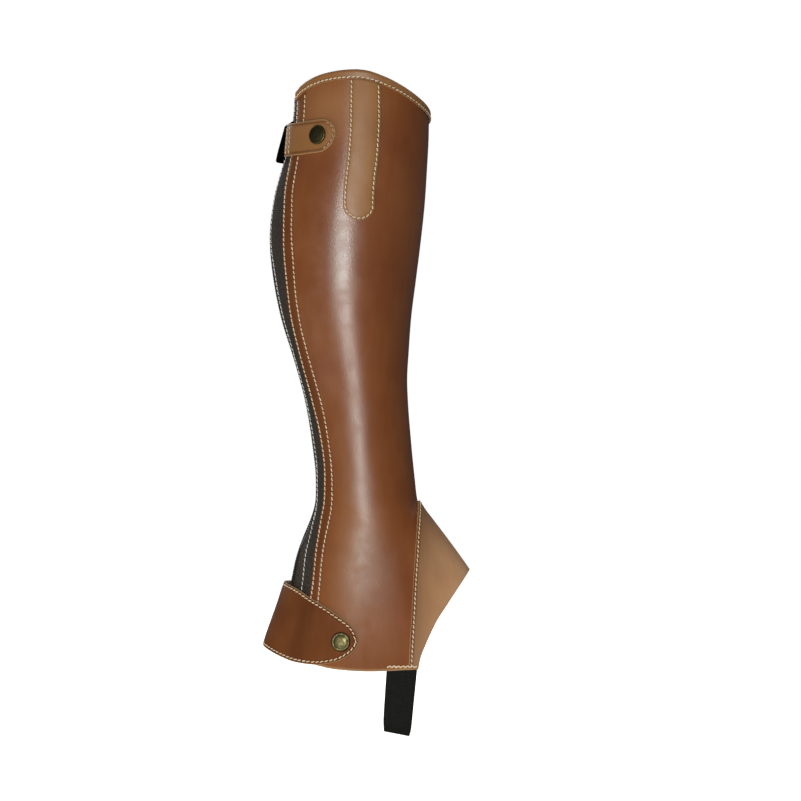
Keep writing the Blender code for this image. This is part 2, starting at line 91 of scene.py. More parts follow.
# The form: at each height, where it reaches at the back and front, half its width, and where it is widest
FORM = table(
    "height back front half widest",
    (-312, -63.0, 142.5, 43.5, 14), (-290, -57.4, 126.6, 43.0, 14), (-271, -50.8, 112.8, 42.0, 14),
    (-257, -45.8, 102.7, 41.0, 14), (-242, -41.2, 91.8, 40.0, 14), (-228, -37.9, 82.0, 39.0, 14.5),
    (-214, -33.1, 71.8, 38.0, 15), (-200, -27.4, 61.2, 37.0, 16), (-192, -25.0, 55.2, 36.6, 16),
    (-185, -23.5, 51.6, 36.5, 15), (-171, -23.5, 49.9, 36.5, 14), (-143, -26.3, 47.1, 38.0, 11.5),
    (-114, -31.3, 44.9, 40.5, 10), (-100, -34.9, 44.4, 42.5, 8.4), (-78, -41.3, 45.6, 45.5, 5.4),
    (-57, -47.7, 47.1, 48.5, 3.2), (-28, -53.4, 50.7, 51.8, 1.6), (0, -56.3, 54.2, 53.0, 1.8),
    (28, -53.4, 57.1, 53.0, 4), (50, -47.7, 58.5, 52.2, 8), (76, -40.6, 59.8, 51.0, 11),
    (100, -38.2, 60.0, 50.0, 13), (124, -37.5, 60.5, 49.3, 14),
)
SAMPLE_STEP = 0.5
SECTION_SOFTNESS = 7.0
FRONT_SOFTNESS = 1.0
INSTEP_SOFTNESS = 26.0
INSTEP_WEIGHTS = ((-1, 0.125), (-0.5, 0.25), (0, 0.25), (0.5, 0.25), (1, 0.125))

# Rows of the pieces that run down the leg are level between these heights, and slope in zones of about these
# lengths above and below. Then how far apart the rows of a panel and of a tape lie, and how many a rib has
LEVELS_TOP = 74.0
LEVELS_FOOT = -280.0
TOP_ZONE = 34.0
FOOT_ZONE = 22.0
PANEL_STEP = 2.0
TAPE_STEP = 1.6
RIB_STEPS = 4

# Angles of the shin's seam, the outer panel's back edge, the elastic's edge by the zip, and the second row
FRONT_SEAM = 352.0
BACK_EDGES = table(
    "height leather elastic",
    (-312, 128.0, 142.0), (-252, 131.5, 146.0), (-232, 133.5, 150.0), (-212, 137.5, 157.0),
    (-195, 141.5, 166.0), (-175, 140.5, 169.5), (-155, 139.0, 167.0), (-136, 140.5, 168.0),
    (-114, 145.0, 169.5), (-90, 146.5, 170.0), (-60, 145.0, 168.5), (-30, 142.5, 168.5),
    (0, 142.0, 172.0), (20, 144.0, 174.0), (40, 148.0, 175.0), (65, 152.0, 174.0), (104, 157.0, 176.0),
)
SECOND_ROW = table(
    "height angle",
    (-312, 118.0), (-255, 123.4), (-227, 126.0), (-198, 128.6), (-156, 127.2), (-129, 128.8), (-102, 132.6),
    (-74, 134.2), (-47, 133.4), (-13, 132.0), (15, 133.8), (32, 136.6), (54, 139.8), (84, 142.6),
    (104, 143.4),
)

# The panels' top edge and hem, going round the leg
TOP_RIM = table(
    "angle height",
    (-8, 90.6), (9, 93.7), (27, 98.6), (42, 103.7), (56, 108.9), (72, 114.3), (89, 118.5), (97, 119.1),
    (106, 118.8), (120, 117.2), (133, 114.4), (147, 109.8), (160, 104.9), (218, 104.2), (232, 99.5),
    (246, 94.0), (266, 88.8), (300, 86.6), (330, 87.8), (352, 90.6),
)
HEM_RIM = table(
    "angle height",
    (0, -304.4), (72, -304.4), (88, -305.6), (104, -304.4), (122, -300.0), (140, -295.0), (160, -289.5),
    (180, -286.5), (200, -289.5), (220, -295.0), (238, -300.0), (256, -304.4), (272, -305.6),
    (288, -304.4), (360, -304.4),
)

BINDING_DEPTH = 7.0
BINDING_INNER_DEPTH = 5.3
BINDING_CREST = 1.9
BINDING_ROW = 5.6

# The elastic let in behind the outer panel, and its white row's distance from its edge
GUSSET_UNDER = 8.0
GUSSET_TOP = 98.4
GUSSET_RISE = 3.0
GUSSET_ROW = table("height inside", (-222, 2.2), (-192, 5.0))
GUSSET_ROW_FOOT = -262.0
GUSSET_THREAD = 0.4
RIB_PITCH = 1.4
RIB_DEPTH = 0.22

# The zip at the back
ZIP_HALF = 15.0
HEEL_TURN = 7.0
HEEL_TURN_FROM = -176.0
HEEL_TURN_OVER = 40.0
EDGE_DIP = 0.6
ZIP_UNDER = 5.0
ZIP_FOOT = -283.0
TAPE_PARTING = 0.04
COIL_TOP = 100.5
COIL_LIFT = 0.35
SLIDER_LEVEL = 72.0

# A tooth of the coil, from the zip's middle to the side: its reach, its rise and its radius
TOOTH_PITCH = 0.85
TOOTH_LEAN = 0.12
TOOTH = table(
    "reach rise radius",
    (-0.5, 0.1, 0.3), (-0.25, 0.35, 0.5), (0.5, 0.42, 0.46), (1.4, 0.34, 0.44), (2.1, 0.1, 0.42),
    (2.45, -0.25, 0.36),
)

# The vamp over the instep, its free edge over the boot, and its soft folds
VAMP_TOP = -186.0
VAMP_TIP = -235.8
VAMP_SEAM_TOP_X = 51.5
VAMP_SEAM_HEM_X = 45.2
VAMP_SEAM_FOOT = -303.0
VAMP_FOOT = -304.4
VAMP_LAP = 6.0
FRONT_SWING = 9.0
# How strong the painted shade on the vamp is at its seam, and how far from the seam it fades out
VAMP_PAINTED_SHADE = 0.82
VAMP_PAINTED_SHADE_REACH = 36.0
VAMP_FREE_EDGE = table(
    "height x",
    (-304.4, 51.9), (-296.0, 53.6), (-286.3, 57.4), (-270.9, 64.6), (-258.6, 72.4), (-246.4, 80.4),
    (-235.8, 87.4),
)
VAMP_FOLDS = table(
    "side width depth", (-0.36, 0.07, 0.4), (-0.62, 0.06, 0.25), (0.3, 0.09, 0.35), (0.55, 0.05, 0.3)
)

PATCH_FOOT = 12.5
PATCH_TOP = 112.0
PATCH = table(
    "height centre half",
    (12, 10.6, 10.9), (25, 10.0, 10.9), (42, 11.1, 10.9), (57, 12.9, 10.9), (86, 14.5, 10.9),
    (112, 14.6, 10.6),
)

# The keeper strap over the zip's top: a leather tab, then elastic
TAB_TIP_ANGLE = 108.5
TAB_LENGTH = 46.0
TAB_LEVEL = 70.4
TAB_HALF = 11.8
TAB_RISE = 2.6
TAB_DROP = 1.2
TAB_LEAN = 5.0
TAB_LIFT_FROM = 26.0
TAB_LIFT_OVER = 14.0
TAB_SNAP_FROM_TIP = 13.0
TAB_SNAP_LEVEL = 72.6
TAB_DENT = 0.3
TAB_DENT_HALF = 8.5
TAB_THREAD = 0.34
TAB_END_ROWS = (1.8, 6.2)
KEEPER_WALL = 1.1
KEEPER_LIFT = 1.45
KEEPER_BULGE = 4.4
KEEPER_CROWN = 0.18
KEEPER_SWELL_FROM = 0.13
KEEPER_SWELL_OVER = 0.7
KEEPER_UNDER = 6.0
KEEPER_DROP = 4.0
KEEPER_END_ANGLE = 232.0
KEEPER_END_ROWS = (0.93, 0.975)
KEEPER_RIBS = 60
KEEPER_RIB_DEPTH = 0.09

# The heel flap's cut, from its round end on the outer side to its sewn end on the inner side
HEEL_FLAP = table(
    "angle top bottom",
    (93.3, -284.4, -285.4), (93.6, -283.2, -286.6), (95.1, -277.9, -290.0), (98.5, -272.8, -294.2),
    (106, -266.8, -299.0), (117, -260.0, -301.0), (130, -254.0, -299.6), (143, -248.7, -296.0),
    (156, -245.8, -292.4), (169, -244.2, -289.9), (180, -243.5, -288.8), (200, -243.3, -289.8),
    (220, -244.5, -293.4),
)
FLAP_FOLDS = table("angle width depth", (134, 7, 0.45), (196, 9, 0.4))
# Painted shade on the heel flap: a darker band beside its first soft fold, with its angle, half width and
# share
FLAP_PAINTED_SHADE = table("angle width share", (130, 10, 0.42))
FLAP_END_ROWS = (2.6, 6.4)
FLAP_END_TOP = -246.6
FLAP_END_FOOT = -291.2
FLAP_SNAP_ANGLE = 103.4
FLAP_SNAP_LEVEL = -284.8

# A press stud's cap, turned about its axis: shares of its radius and height, and how dark its patina is
SNAP_RADIUS = 6.85
SNAP_HEIGHT = 2.4
SNAP_STEPS = 64
SNAP_PROFILE = table(
    "radius rise recess",
    (0.0, 0.97, 0.0), (0.3, 0.95, 0.05), (0.56, 0.88, 0.1), (0.7, 0.8, 0.15), (0.745, 0.745, 0.4),
    (0.78, 0.75, 0.2), (0.84, 0.78, 0.0), (0.9, 0.74, 0.0), (0.96, 0.6, 0.1), (1.0, 0.38, 0.3),
    (0.985, 0.18, 0.6), (0.93, 0.03, 1.0), (0.88, 0.0, 1.0), (0.0, 0.0, 1.0),
)

# The elastic under the foot
STRAP_LENGTH = 190.0
STRAP_BACK_X = 30.2
STRAP_FRONT_X = 51.6
STRAP_FOOT_BACK_X = 27.1
STRAP_FOOT_FRONT_X = 46.6
STRAP_TOP = -295.0
STRAP_FOOT_BACK = -348.9
STRAP_FOOT_FRONT = -352.4
STRAP_TURN = 15.0
STRAP_WALL = 1.6
STRAP_RIBS = 14
STRAP_RIB_DEPTH = 0.12
STRAP_DRAWN_IN = 0.9
BAR_LEVEL = -302.2
BAR_STITCHES = 13

# Sewing: the rows' distance from a cut edge, where the panels' rows end, how deep the rows lie in the face
# that they hold, the length of a stitch, and the dip it pulls into the leather
EDGE_ROW = 1.3
SECOND_EDGE_ROW = EDGE_ROW + 7.4
LAID_ROW = 1.9
PATCH_ROW = 1.5
TIP_ROW = 1.7
SHIN_ROW = 2.4
SHIN_ROW_TOP = 82.0
SHIN_ROW_FOOT = -184.0
OUTER_ROW_FEET = (-262, -266)
INNER_ROW_FEET = (-258, -260)
SEAM_SUNK = 0.15
LAID_SUNK = 0.28
PATCH_SUNK = 0.3
TIP_SUNK = 0.4
END_SUNK = 0.05
ROW_STEP = 1.5
STITCH_PITCH = 3.4
STITCH_SHARE = 0.84
STITCH_SLANT = 0.22
THREAD = 0.46
BAR_HALF = 1.2
BAR_THREAD = 0.45
BAR_SLANTS = (-0.55, 0.8)
GROOVE_DEPTH = 0.2
GROOVE_HALF = 0.6
BAND_PUFF = 0.22
PRESSED = 0.2
PRESSED_HALF = 3.0

# How a stitch lies: where along its half it bends, and as shares of its thread how high it bows, how far it
# sinks, how thick it is in all, at its ends and from above to below
ROW_STITCH, BAR_STITCH = table(
    "neck shoulder bow sunk thick ends flat",
    (0.88, 0.55, 1.15, 0.75, 1, 0.62, 0.8), (0.85, 0.5, 1.2, 0.7, 4 / 3, 0.6, 1),
)

# How dark the painted shade along the sewing and between the rows is, how pale the cut edges and hem are
# painted, partly as a painted highlight, and how far round them
SEWN_SHADE = 0.75
SEWN_HALF = 0.9
BAND_SHADE = 0.5
EDGE_PALE_AND_HIGHLIGHT = 0.85
EDGE_PALE_HALF = 0.42
HEM_PALE_AND_HIGHLIGHT = 0.8
HEM_PALE_HALF = 0.6

# Cut edges: how far they are rolled down, and the crown of a laid-on piece between them
SHIN_ROLL = 0.75
SHIN_ROLL_HALF = 1.1
SHIN_ROLL_FOOT = VAMP_TOP - 12
LAID_ROLL = 0.22
FREE_ROLL = 0.15
LAID_ROLL_HALF = 0.5
CROWN = 0.14
CROWN_HALF = 3.0

# Soft troughs of the worn leather, and places painted paler as a painted sheen: place, direction from level,
# half length and width, and depth, which for the painted sheen is how far it pales the leather
SPOT = "angle height slope length width depth"
TROUGHS = table(
    SPOT,
    (62, -262, 90, 46, 9, 0.9), (44, -216, 38, 20, 9, 0.4), (84, -176, 6, 22, 8, 0.6),
    (62, -192, -12, 18, 8, 0.35), (112, -196, 20, 15, 6, 0.6), (122, -214, 34, 14, 5, 0.5),
    (78, -118, -8, 26, 12, 0.4),
    (115, 36, 80, 34, 9, 0.35), (226, -182, -10, 18, 6, 0.8), (248, -199, -24, 22, 6, 0.9),
    (262, -176, 4, 26, 8, 0.6), (298, -206, -40, 20, 6, 0.9), (318, -188, -16, 14, 5, 0.6),
    (284, -258, 90, 38, 10, 0.8), (262, -96, 10, 30, 12, 0.5), (300, 10, 84, 46, 12, 0.4),
)
PAINTED_SHEEN_SPOTS = table(SPOT, (118, 92, 0, 34, 22, 0.5), (104, -212, 0, 15, 76, 0.34))

# How dull the leather is at each height, from polished at 0 to 1
DULLED = table(
    "height share",
    (-300, 1.0), (-262, 0.8), (-235, 0.5), (-150, 0.3), (-60, 0.1), (-30, 0), (48, 0), (80, 0.3),
    (120, 0.65),
)


def lerp(a, b, share):
    return a + (b - a) * share


def bell(distance, half):
    """1 where the distance is 0, about a third where it is half, and nothing far beyond."""
    return np.exp(-((distance / half) ** 2))


def spread(first, last, step):
    """Evenly spaced values from first to last, about a step apart."""
    return np.linspace(first, last, max(2, round(abs(last - first) / step) + 1))


def joined(*parts):
    return np.concatenate(parts)


def ramped(rows, key):
    """The second column of a table, read on straight lines between its rows."""
    return np.interp(key, *zip(*rows))


class Curve:
    """One named column of a table, read between its rows on a smooth curve that doesn't overshoot them."""

    def __init__(self, rows, column):
        self.keys = np.array([row[0] for row in rows], float)
        self.values = np.array([getattr(row, column) for row in rows], float)
        slopes = np.diff(self.values) / np.diff(self.keys)
        before, after = slopes[:-1], slopes[1:]
        turning = before * after <= 0
        inner = np.where(turning, 0.0, 2 * before * after / np.where(turning, 1.0, before + after))
        self.tangents = joined(slopes[:1], inner, slopes[-1:])

    def __call__(self, key):
        key = np.clip(key, self.keys[0], self.keys[-1])
        i = np.clip(np.searchsorted(self.keys, key, side="right") - 1, 0, len(self.keys) - 2)
        width = self.keys[i + 1] - self.keys[i]
        t = (key - self.keys[i]) / width
        bend = t * (1 - t) * width * ((1 - t) * self.tangents[i] - t * self.tangents[i + 1])
        return self.values[i] * (1 + 2 * t) * (1 - t) ** 2 + self.values[i + 1] * t * t * (3 - 2 * t) + bend


SAMPLED_AT = np.arange(-345.0, 150.0, SAMPLE_STEP)


def softened(column, softness=SECTION_SOFTNESS):
    """A column of the form, averaged over a stretch of height so that the gloss runs on without a kink."""
    curve = Curve(FORM, column)
    offsets = np.linspace(-1.5 * softness, 1.5 * softness, 13)
    weights = bell(offsets, softness)
    total = sum(weight * curve(SAMPLED_AT + offset) for weight, offset in zip(weights, offsets))
    return total / weights.sum()


SAMPLED = {name: softened(name) for name in ("back", "half", "widest")}
SAMPLED["front"] = softened("front", FRONT_SOFTNESS)
leather_edge = Curve(BACK_EDGES, "leather")
elastic_edge = Curve(BACK_EDGES, "elastic")
second_row = Curve(SECOND_ROW, "angle")
top_rim = Curve(TOP_RIM, "height")
hem = Curve(HEM_RIM, "height")
patch_centre = Curve(PATCH, "centre")
patch_half = Curve(PATCH, "half")
vamp_free_x = Curve(VAMP_FREE_EDGE, "x")
flap_top = Curve(HEEL_FLAP, "top")
flap_bottom = Curve(HEEL_FLAP, "bottom")


def sampled(name, height):
    return np.interp(height, SAMPLED_AT, SAMPLED[name])


def reach_at(angle, height):
    """Where the form reaches at the back or in front. The instep's ridge bends sharper than its sides."""
    reach = INSTEP_SOFTNESS * np.sin(np.radians(angle)) ** 2
    front = sum(weight * sampled("front", height + share * reach) for share, weight in INSTEP_WEIGHTS)
    return np.where(np.cos(np.radians(angle)) > 0, front, sampled("back", height))


def form(angle, height):
    """Points of the leather's outer face: half an ellipse in front of the widest line, and half behind it."""
    angle, height = np.broadcast_arrays(np.asarray(angle, float), np.asarray(height, float))
    widest = sampled("widest", height)
    along = np.abs(reach_at(angle, height) - widest) * np.cos(np.radians(angle))
    return np.stack([widest + along, -sampled("half", height) * np.sin(np.radians(angle)), height], axis=-1)


def unit(vectors):
    return vectors / np.linalg.norm(vectors, axis=-1, keepdims=True)


def outward(angle, height):
    round_leg = form(angle + 1, height) - form(angle - 1, height)
    downwards = form(angle, height - 1) - form(angle, height + 1)
    return unit(np.cross(round_leg, downwards))


def place(angle, height, out):
    return form(angle, height) + outward(angle, height) * np.asarray(out)[..., None]


def angle_at(x, height):
    """The angle on the outer side at which the form is seen at x from the side."""
    x, height = np.broadcast_arrays(np.asarray(x, float), np.asarray(height, float))
    low, high = np.zeros(x.shape), np.full(x.shape, 180.0)
    for _ in range(26):
        middle = (low + high) / 2
        further = form(middle, height)[..., 0] > x
        low, high = np.where(further, middle, low), np.where(further, high, middle)
    return high


def locate(points):
    """Angle and height of points on or near the form."""
    height = points[..., 2]
    widest = sampled("widest", height)
    across = points[..., 0] - widest
    side = -points[..., 1] / sampled("half", height)
    angle = np.degrees(np.arctan2(side, across / 50))
    for _ in range(8):
        angle = np.degrees(np.arctan2(side, across / np.abs(reach_at(angle, height) - widest)))
    return angle % 360, height


def degree_length(angle, height):
    return np.linalg.norm(form(angle + 0.5, height) - form(angle - 0.5, height), axis=-1)


def turned(angle, height, distance):
    """The angle reached from another one by going a distance round the leg."""
    end = angle
    for _ in range(3):
        end = angle + distance / degree_length((angle + end) / 2, height)
    return end


def beside(line, distance):
    """The line that runs down the leg at a distance round it from another one."""
    return lambda height: turned(line(height), height, distance)


def heel_turn(height):
    """The leg is narrow above the heel, where the zip's inner side lies further round, out of side view."""
    return HEEL_TURN * np.clip((HEEL_TURN_FROM - height) / HEEL_TURN_OVER, 0, 1)


def medial_edge(height):
    return turned(elastic_edge(height), height, 2 * ZIP_HALF + heel_turn(height))


def gusset_row(height):
    """The white row runs well inside the elastic's edge, and nearer to it above the heel."""
    return turned(elastic_edge(height), height, -ramped(GUSSET_ROW, height))


zip_line = beside(elastic_edge, ZIP_HALF)
gusset_start = beside(leather_edge, -GUSSET_UNDER)
lateral_first = beside(leather_edge, -EDGE_ROW)
medial_first = beside(medial_edge, EDGE_ROW)
medial_second = beside(medial_edge, SECOND_EDGE_ROW)


def zip_depth(angle, height):
    """The zip climbs from under the elastic to under the inner panel."""
    start, end = elastic_edge(height), medial_edge(height)
    share = np.clip((angle - start) / (end - start), 0, 1)
    return lerp(UNDER - ELASTIC - SEAM, UNDER - EDGE_DIP, share)


def back_top(angle):
    """The elastic and the zip stand a little higher between the leather edges than under them."""
    start, end = leather_edge(GUSSET_TOP), medial_edge(GUSSET_TOP)
    return GUSSET_TOP + GUSSET_RISE * np.clip(np.minimum((angle - start) / 3, (end - angle) / 3), 0, 1)


def panel_top(angle):
    return top_rim(angle) - BINDING_CREST


def vamp_seam_x(height):
    return lerp(VAMP_SEAM_TOP_X, VAMP_SEAM_HEM_X, (VAMP_TOP - height) / (VAMP_TOP - VAMP_SEAM_FOOT))


def panel_front(height):
    """Front edge of the outer panel: the shin's seam, and below the ankle a line under the vamp's seam."""
    height = np.asarray(height, float)
    under = vamp_seam_x(height) + VAMP_LAP
    covered = (height < VAMP_TOP) & (under < sampled("front", height))
    swung = np.clip((VAMP_TOP - height) / FRONT_SWING, 0, 1)
    return np.where(covered, angle_at(under, height), (FRONT_SEAM - 360) * (1 - swung))


def medial_front(height):
    """The inner panel meets the outer one at the shin's seam, and mirrors it under the vamp."""
    front = panel_front(height)
    return turned(360 + np.where(front < 0, front, -front), height, -0.15)


def leg_rows(step):
    """Rows of a piece down the leg: 0 at its top, 1 to 2 on level rows, and 3 at its foot."""
    zones = enumerate((TOP_ZONE, LEVELS_TOP - LEVELS_FOOT, FOOT_ZONE))
    return joined(*(spread(start, start + 1, step / length)[:-1] for start, length in zones), [3.0])


def level_of(row, top, foot):
    level = np.where(row < 2, lerp(LEVELS_TOP, LEVELS_FOOT, row - 1), lerp(LEVELS_FOOT, foot, row - 2))
    return np.where(row < 1, lerp(top, LEVELS_TOP, row), level)


def settle(stations, rows, lines, top, foot):
    """Angles and heights of a grid whose sides depend on the height and whose ends depend on the angle.

    Station 0 is on the first of its lines down the leg, 1 on the second and so on.
    """
    station, row = np.meshgrid(stations, rows)
    index = np.clip(station.astype(int), 0, len(lines) - 2)
    angle = np.full(station.shape, 90.0)
    for _ in range(12):
        height = level_of(row, top(angle), foot(angle))
        angles = np.stack([line(height) for line in lines])
        low, high = (np.take_along_axis(angles, i[None], 0)[0] for i in (index, index + 1))
        angle = lerp(low, high, station - index)
    return angle, height


def groove(distance):
    return -GROOVE_DEPTH * bell(distance, GROOVE_HALF)


# Painted shade in the groove of a row of stitches
def sewn_shade(distance):
    return SEWN_SHADE * bell(distance, SEWN_HALF)


def pressed(distance):
    """Sewing presses the edge of a laid-on piece down to the panel."""
    return -PRESSED * bell(distance, PRESSED_HALF)


# Pale tone painted along a cut edge: the cut edge's own paler colour, partly a painted highlight where the
# rounded edge catches the light
def pale_edge_and_highlight(distance):
    return EDGE_PALE_AND_HIGHLIGHT * bell(distance, EDGE_PALE_HALF)


def spots(rows, angle, height):
    """Soft oval spots, summed."""
    total = np.zeros(np.shape(angle))
    for spot in rows:
        aside = ((angle - spot.angle + 180) % 360 - 180) * degree_length(spot.angle, spot.height)
        rise = height - spot.height
        slope = math.radians(spot.slope)
        along = aside * math.cos(slope) + rise * math.sin(slope)
        across = rise * math.cos(slope) - aside * math.sin(slope)
        total += spot.depth * bell(along, spot.length) * bell(across, spot.width)
    return total


def wear(angle, height):
    """Relief of the worn leather, always inwards, so that nothing laid on it is touched."""
    return -spots(TROUGHS, angle, height)


GAMMA = 2.2


def srgb(tone):
    """A colour of red, green and blue from 0 to 255, as the shader's own four numbers."""
    return [(value / 255) ** GAMMA for value in tone] + [1.0]


class Finish:
    """A material with short helpers for its nodes. Texture places are the object's own, in metres."""

    def __init__(self, name, roughness, **sockets):
        self.material = bpy.data.materials.new(name)
        self.material.use_nodes = True
        self.tree = self.material.node_tree
        self.shader = self.tree.nodes["Principled BSDF"]
        self.shader.inputs["Roughness"].default_value = roughness
        for socket, value in sockets.items():
            self.shader.inputs[socket.replace("_", " ")].default_value = value
        self.place = self.tree.nodes.new("ShaderNodeTexCoord").outputs["Object"]

    def node(self, kind, inputs=(), **settings):
        node = self.tree.nodes.new(kind)
        for name, value in settings.items():
            setattr(node, name, value)
        for socket, value in dict(inputs).items():
            if isinstance(value, bpy.types.NodeSocket):
                self.tree.links.new(value, node.inputs[socket])
            else:
                node.inputs[socket].default_value = value
        return node

    def feed(self, socket, value):
        self.tree.links.new(value, self.shader.inputs[socket])

    def stretched(self, upwards):
        """Texture places whose patterns are longer up the leg where the number is under 1."""
        return self.node("ShaderNodeMapping", {"Vector": self.place, "Scale": (1, 1, upwards)}).outputs[0]

    def noise(self, size, detail=3.0, place=None):
        """Noise whose patches are about a size in millimetres, from 0 to 1."""
        inputs = {"Vector": place or self.place, "Scale": 1 / (size * MM), "Detail": detail}
        return self.node("ShaderNodeTexNoise", inputs).outputs[0]

    def cells(self, size, place=None):
        inputs = {"Vector": place or self.place, "Scale": 1 / (size * MM)}
        return self.node("ShaderNodeTexVoronoi", inputs, feature="SMOOTH_F1").outputs["Distance"]

    def attribute(self, name):
        return self.node("ShaderNodeAttribute", attribute_name=name).outputs["Fac"]

    def reshaped(self, value, low, high, to_low=0.0, to_high=1.0):
        inputs = {"Value": value, "From Min": low, "From Max": high, "To Min": to_low, "To Max": to_high}
        return self.node("ShaderNodeMapRange", inputs).outputs[0]

    def sums(self, first, second, operation="ADD", third=0.0):
        return self.node("ShaderNodeMath", {0: first, 1: second, 2: third}, operation=operation).outputs[0]

    def mixed(self, share, first, second):
        """A colour between two, which are sockets or tones. The mix node takes them at its inputs 6 and 7."""
        first, second = (srgb(tone) if isinstance(tone, tuple) else tone for tone in (first, second))
        return self.node("ShaderNodeMix", {"Factor": share, 6: first, 7: second}, data_type="RGBA").outputs[2]

    def ended(self, colour, relief, depth):
        """The material, with its colour and a relief of a depth in millimetres where it runs from 0 to 1."""
        self.feed("Base Color", colour)
        bump = self.node("ShaderNodeBump", {"Height": relief, "Distance": depth * MM})
        self.feed("Normal", bump.outputs[0])
        return self.material


# Pale tone painted along cut edges, partly a painted highlight
PALE_EDGE_AND_HIGHLIGHT = (196, 158, 118)
# Paler tone painted where a soft sheen lies: a painted sheen
PAINTED_SHEEN_TONE = (182, 130, 88)


def polished_leather(name, light, dark, seam, roughness, polish):
    """Smooth leather: cloudy dye, fine pores and faint scuffs, with painted shade along the sewing and in
    shaded places, a painted sheen, and a pale cut-edge tone that is partly a painted highlight.
    """
    finish = Finish(name, roughness, Specular_IOR_Level=polish)
    clouds = finish.reshaped(finish.noise(46), 0.3, 0.7)
    streaks = finish.reshaped(finish.noise(5, 4, finish.stretched(0.2)), 0.3, 0.7, -0.15, 0.15)
    dye = finish.mixed(finish.sums(clouds, streaks), dark, light)
    # Painted over the dye in turn: a painted sheen, painted shade along the sewing and in shaded places, and
    # a pale cut-edge tone that is partly a painted highlight
    for layer, tone in (("rubbed", PAINTED_SHEEN_TONE), ("sewn", seam), ("worn", PALE_EDGE_AND_HIGHLIGHT)):
        dye = finish.mixed(finish.attribute(layer), dye, tone)
    pores = finish.cells(0.62)
    pebbles = finish.noise(0.9, 2)
    scuffs = finish.reshaped(finish.noise(11, 6), 0.45, 0.75)
    dull = finish.attribute("dulled")
    marks = finish.sums(scuffs, 1.2, "MULTIPLY_ADD", dull)
    finish.feed("Roughness", finish.sums(marks, 0.09, "MULTIPLY_ADD", roughness))
    finish.feed("Specular IOR Level", finish.reshaped(dull, 0, 1, polish, 0.08 * polish))
    return finish.ended(dye, finish.sums(pores, pebbles), 0.05)


def cut_edge(name, light, dark):
    """The raw side of cut leather: layered fibres, burnished a little."""
    finish = Finish(name, 0.75)
    fibres = finish.noise(0.5, 4, finish.stretched(2.2))
    return finish.ended(finish.mixed(finish.reshaped(fibres, 0.3, 0.7), dark, light), fibres, 0.08)


def flesh_side(name, light, dark):
    """The inside of the leather: short brushed nap."""
    finish = Finish(name, 0.92, Sheen_Weight=0.4, Sheen_Roughness=0.5)
    nap = finish.noise(1.1, 6)
    clouds = finish.reshaped(finish.noise(24, 4), 0.35, 0.65)
    cloudy = finish.sums(clouds, finish.reshaped(nap, 0, 1, -0.2, 0.2))
    return finish.ended(finish.mixed(cloudy, dark, light), nap, 0.18)


def woven(name, light, dark, size, sheen, gloss):
    """Woven elastic: crossing yarns over a charcoal ground."""
    finish = Finish(name, 0.86, Sheen_Weight=sheen, Sheen_Roughness=0.45, Specular_IOR_Level=gloss)
    yarns = finish.cells(size, finish.stretched(0.55))
    fuzzy = finish.reshaped(finish.sums(yarns, finish.noise(size * 3, 4)), 0.35, 1.25)
    return finish.ended(finish.mixed(fuzzy, dark, light), yarns, 0.1)


def herringbone(name, light, dark, pitch, stripe):
    """Twill whose slanting yarns, a pitch apart in millimetres, turn back at each stripe along the tape."""
    finish = Finish(name, 0.9, Specular_IOR_Level=0.15)
    folded = finish.sums(finish.attribute("across"), stripe, "PINGPONG")
    walked = finish.sums(finish.attribute("along"), folded)
    yarns = finish.sums(finish.sums(walked, 2 * math.pi / pitch, "MULTIPLY"), 0.0, "SINE")
    relief = finish.reshaped(yarns, -1, 1)
    fuzz = finish.reshaped(finish.noise(1.1), 0.3, 0.7, -0.13, 0.13)
    fuzzy = finish.sums(finish.sums(relief, 0.7, "MULTIPLY"), fuzz)
    return finish.ended(finish.mixed(fuzzy, dark, light), relief, 0.15)


def waxed_thread(name, light, dark):
    finish = Finish(name, 0.5, Sheen_Weight=0.15)
    twist = finish.noise(0.35, 2, finish.stretched(0.6))
    soil = finish.reshaped(finish.noise(9), 0.35, 0.7)
    soiled = finish.sums(soil, finish.sums(twist, 0.4, "MULTIPLY"))
    return finish.ended(finish.mixed(soiled, light, dark), twist, 0.08)


def antique_brass(name, light, dark, roughness):
    """Brass with a brown-green patina that the high places have lost."""
    finish = Finish(name, roughness, Metallic=1.0)
    patina = finish.reshaped(finish.noise(2.6, 5), 0.36, 0.64)
    tarnish = finish.sums(finish.attribute("recess"), finish.sums(patina, 0.4, "MULTIPLY"))
    finish.feed("Roughness", finish.reshaped(patina, 0, 1, roughness - 0.06, roughness + 0.16))
    return finish.ended(finish.mixed(tarnish, light, dark), finish.noise(0.7), 0.02)


def moulded(name, tone, shade, roughness):
    """Plastic whose cloudy colour goes down to a share of its light."""
    finish = Finish(name, roughness)
    cloud = finish.noise(1.4, 2)
    dark = tuple(value * shade ** (1 / GAMMA) for value in tone)
    return finish.ended(finish.mixed(cloud, tone, dark), cloud, 0.02)


# Each leather's light and dark dye, then the tone of its painted shade
BODY = polished_leather("Body leather", (145, 85, 47), (131, 72, 38), (96, 54, 29), 0.31, 1.0)
TRIM = polished_leather("Trim leather", (170, 118, 74), (154, 103, 61), (104, 66, 38), 0.42, 0.6)
FLAP = polished_leather("Flap leather", (132, 80, 49), (110, 63, 37), (70, 37, 20), 0.46, 0.3)
VAMP = polished_leather("Vamp leather", (232, 178, 134), (210, 154, 112), (118, 74, 42), 0.58, 0.25)
EDGE = cut_edge("Cut edge", (205, 165, 120), (150, 104, 66))
FLESH = flesh_side("Flesh side", (150, 112, 82), (118, 84, 60))
GUSSET = woven("Ribbed elastic", (82, 73, 68), (38, 33, 30), 0.5, 0.02, 0.15)
BLACK_ELASTIC = woven("Black elastic", (34, 33, 32), (13, 13, 12), 0.55, 0, 0.25)
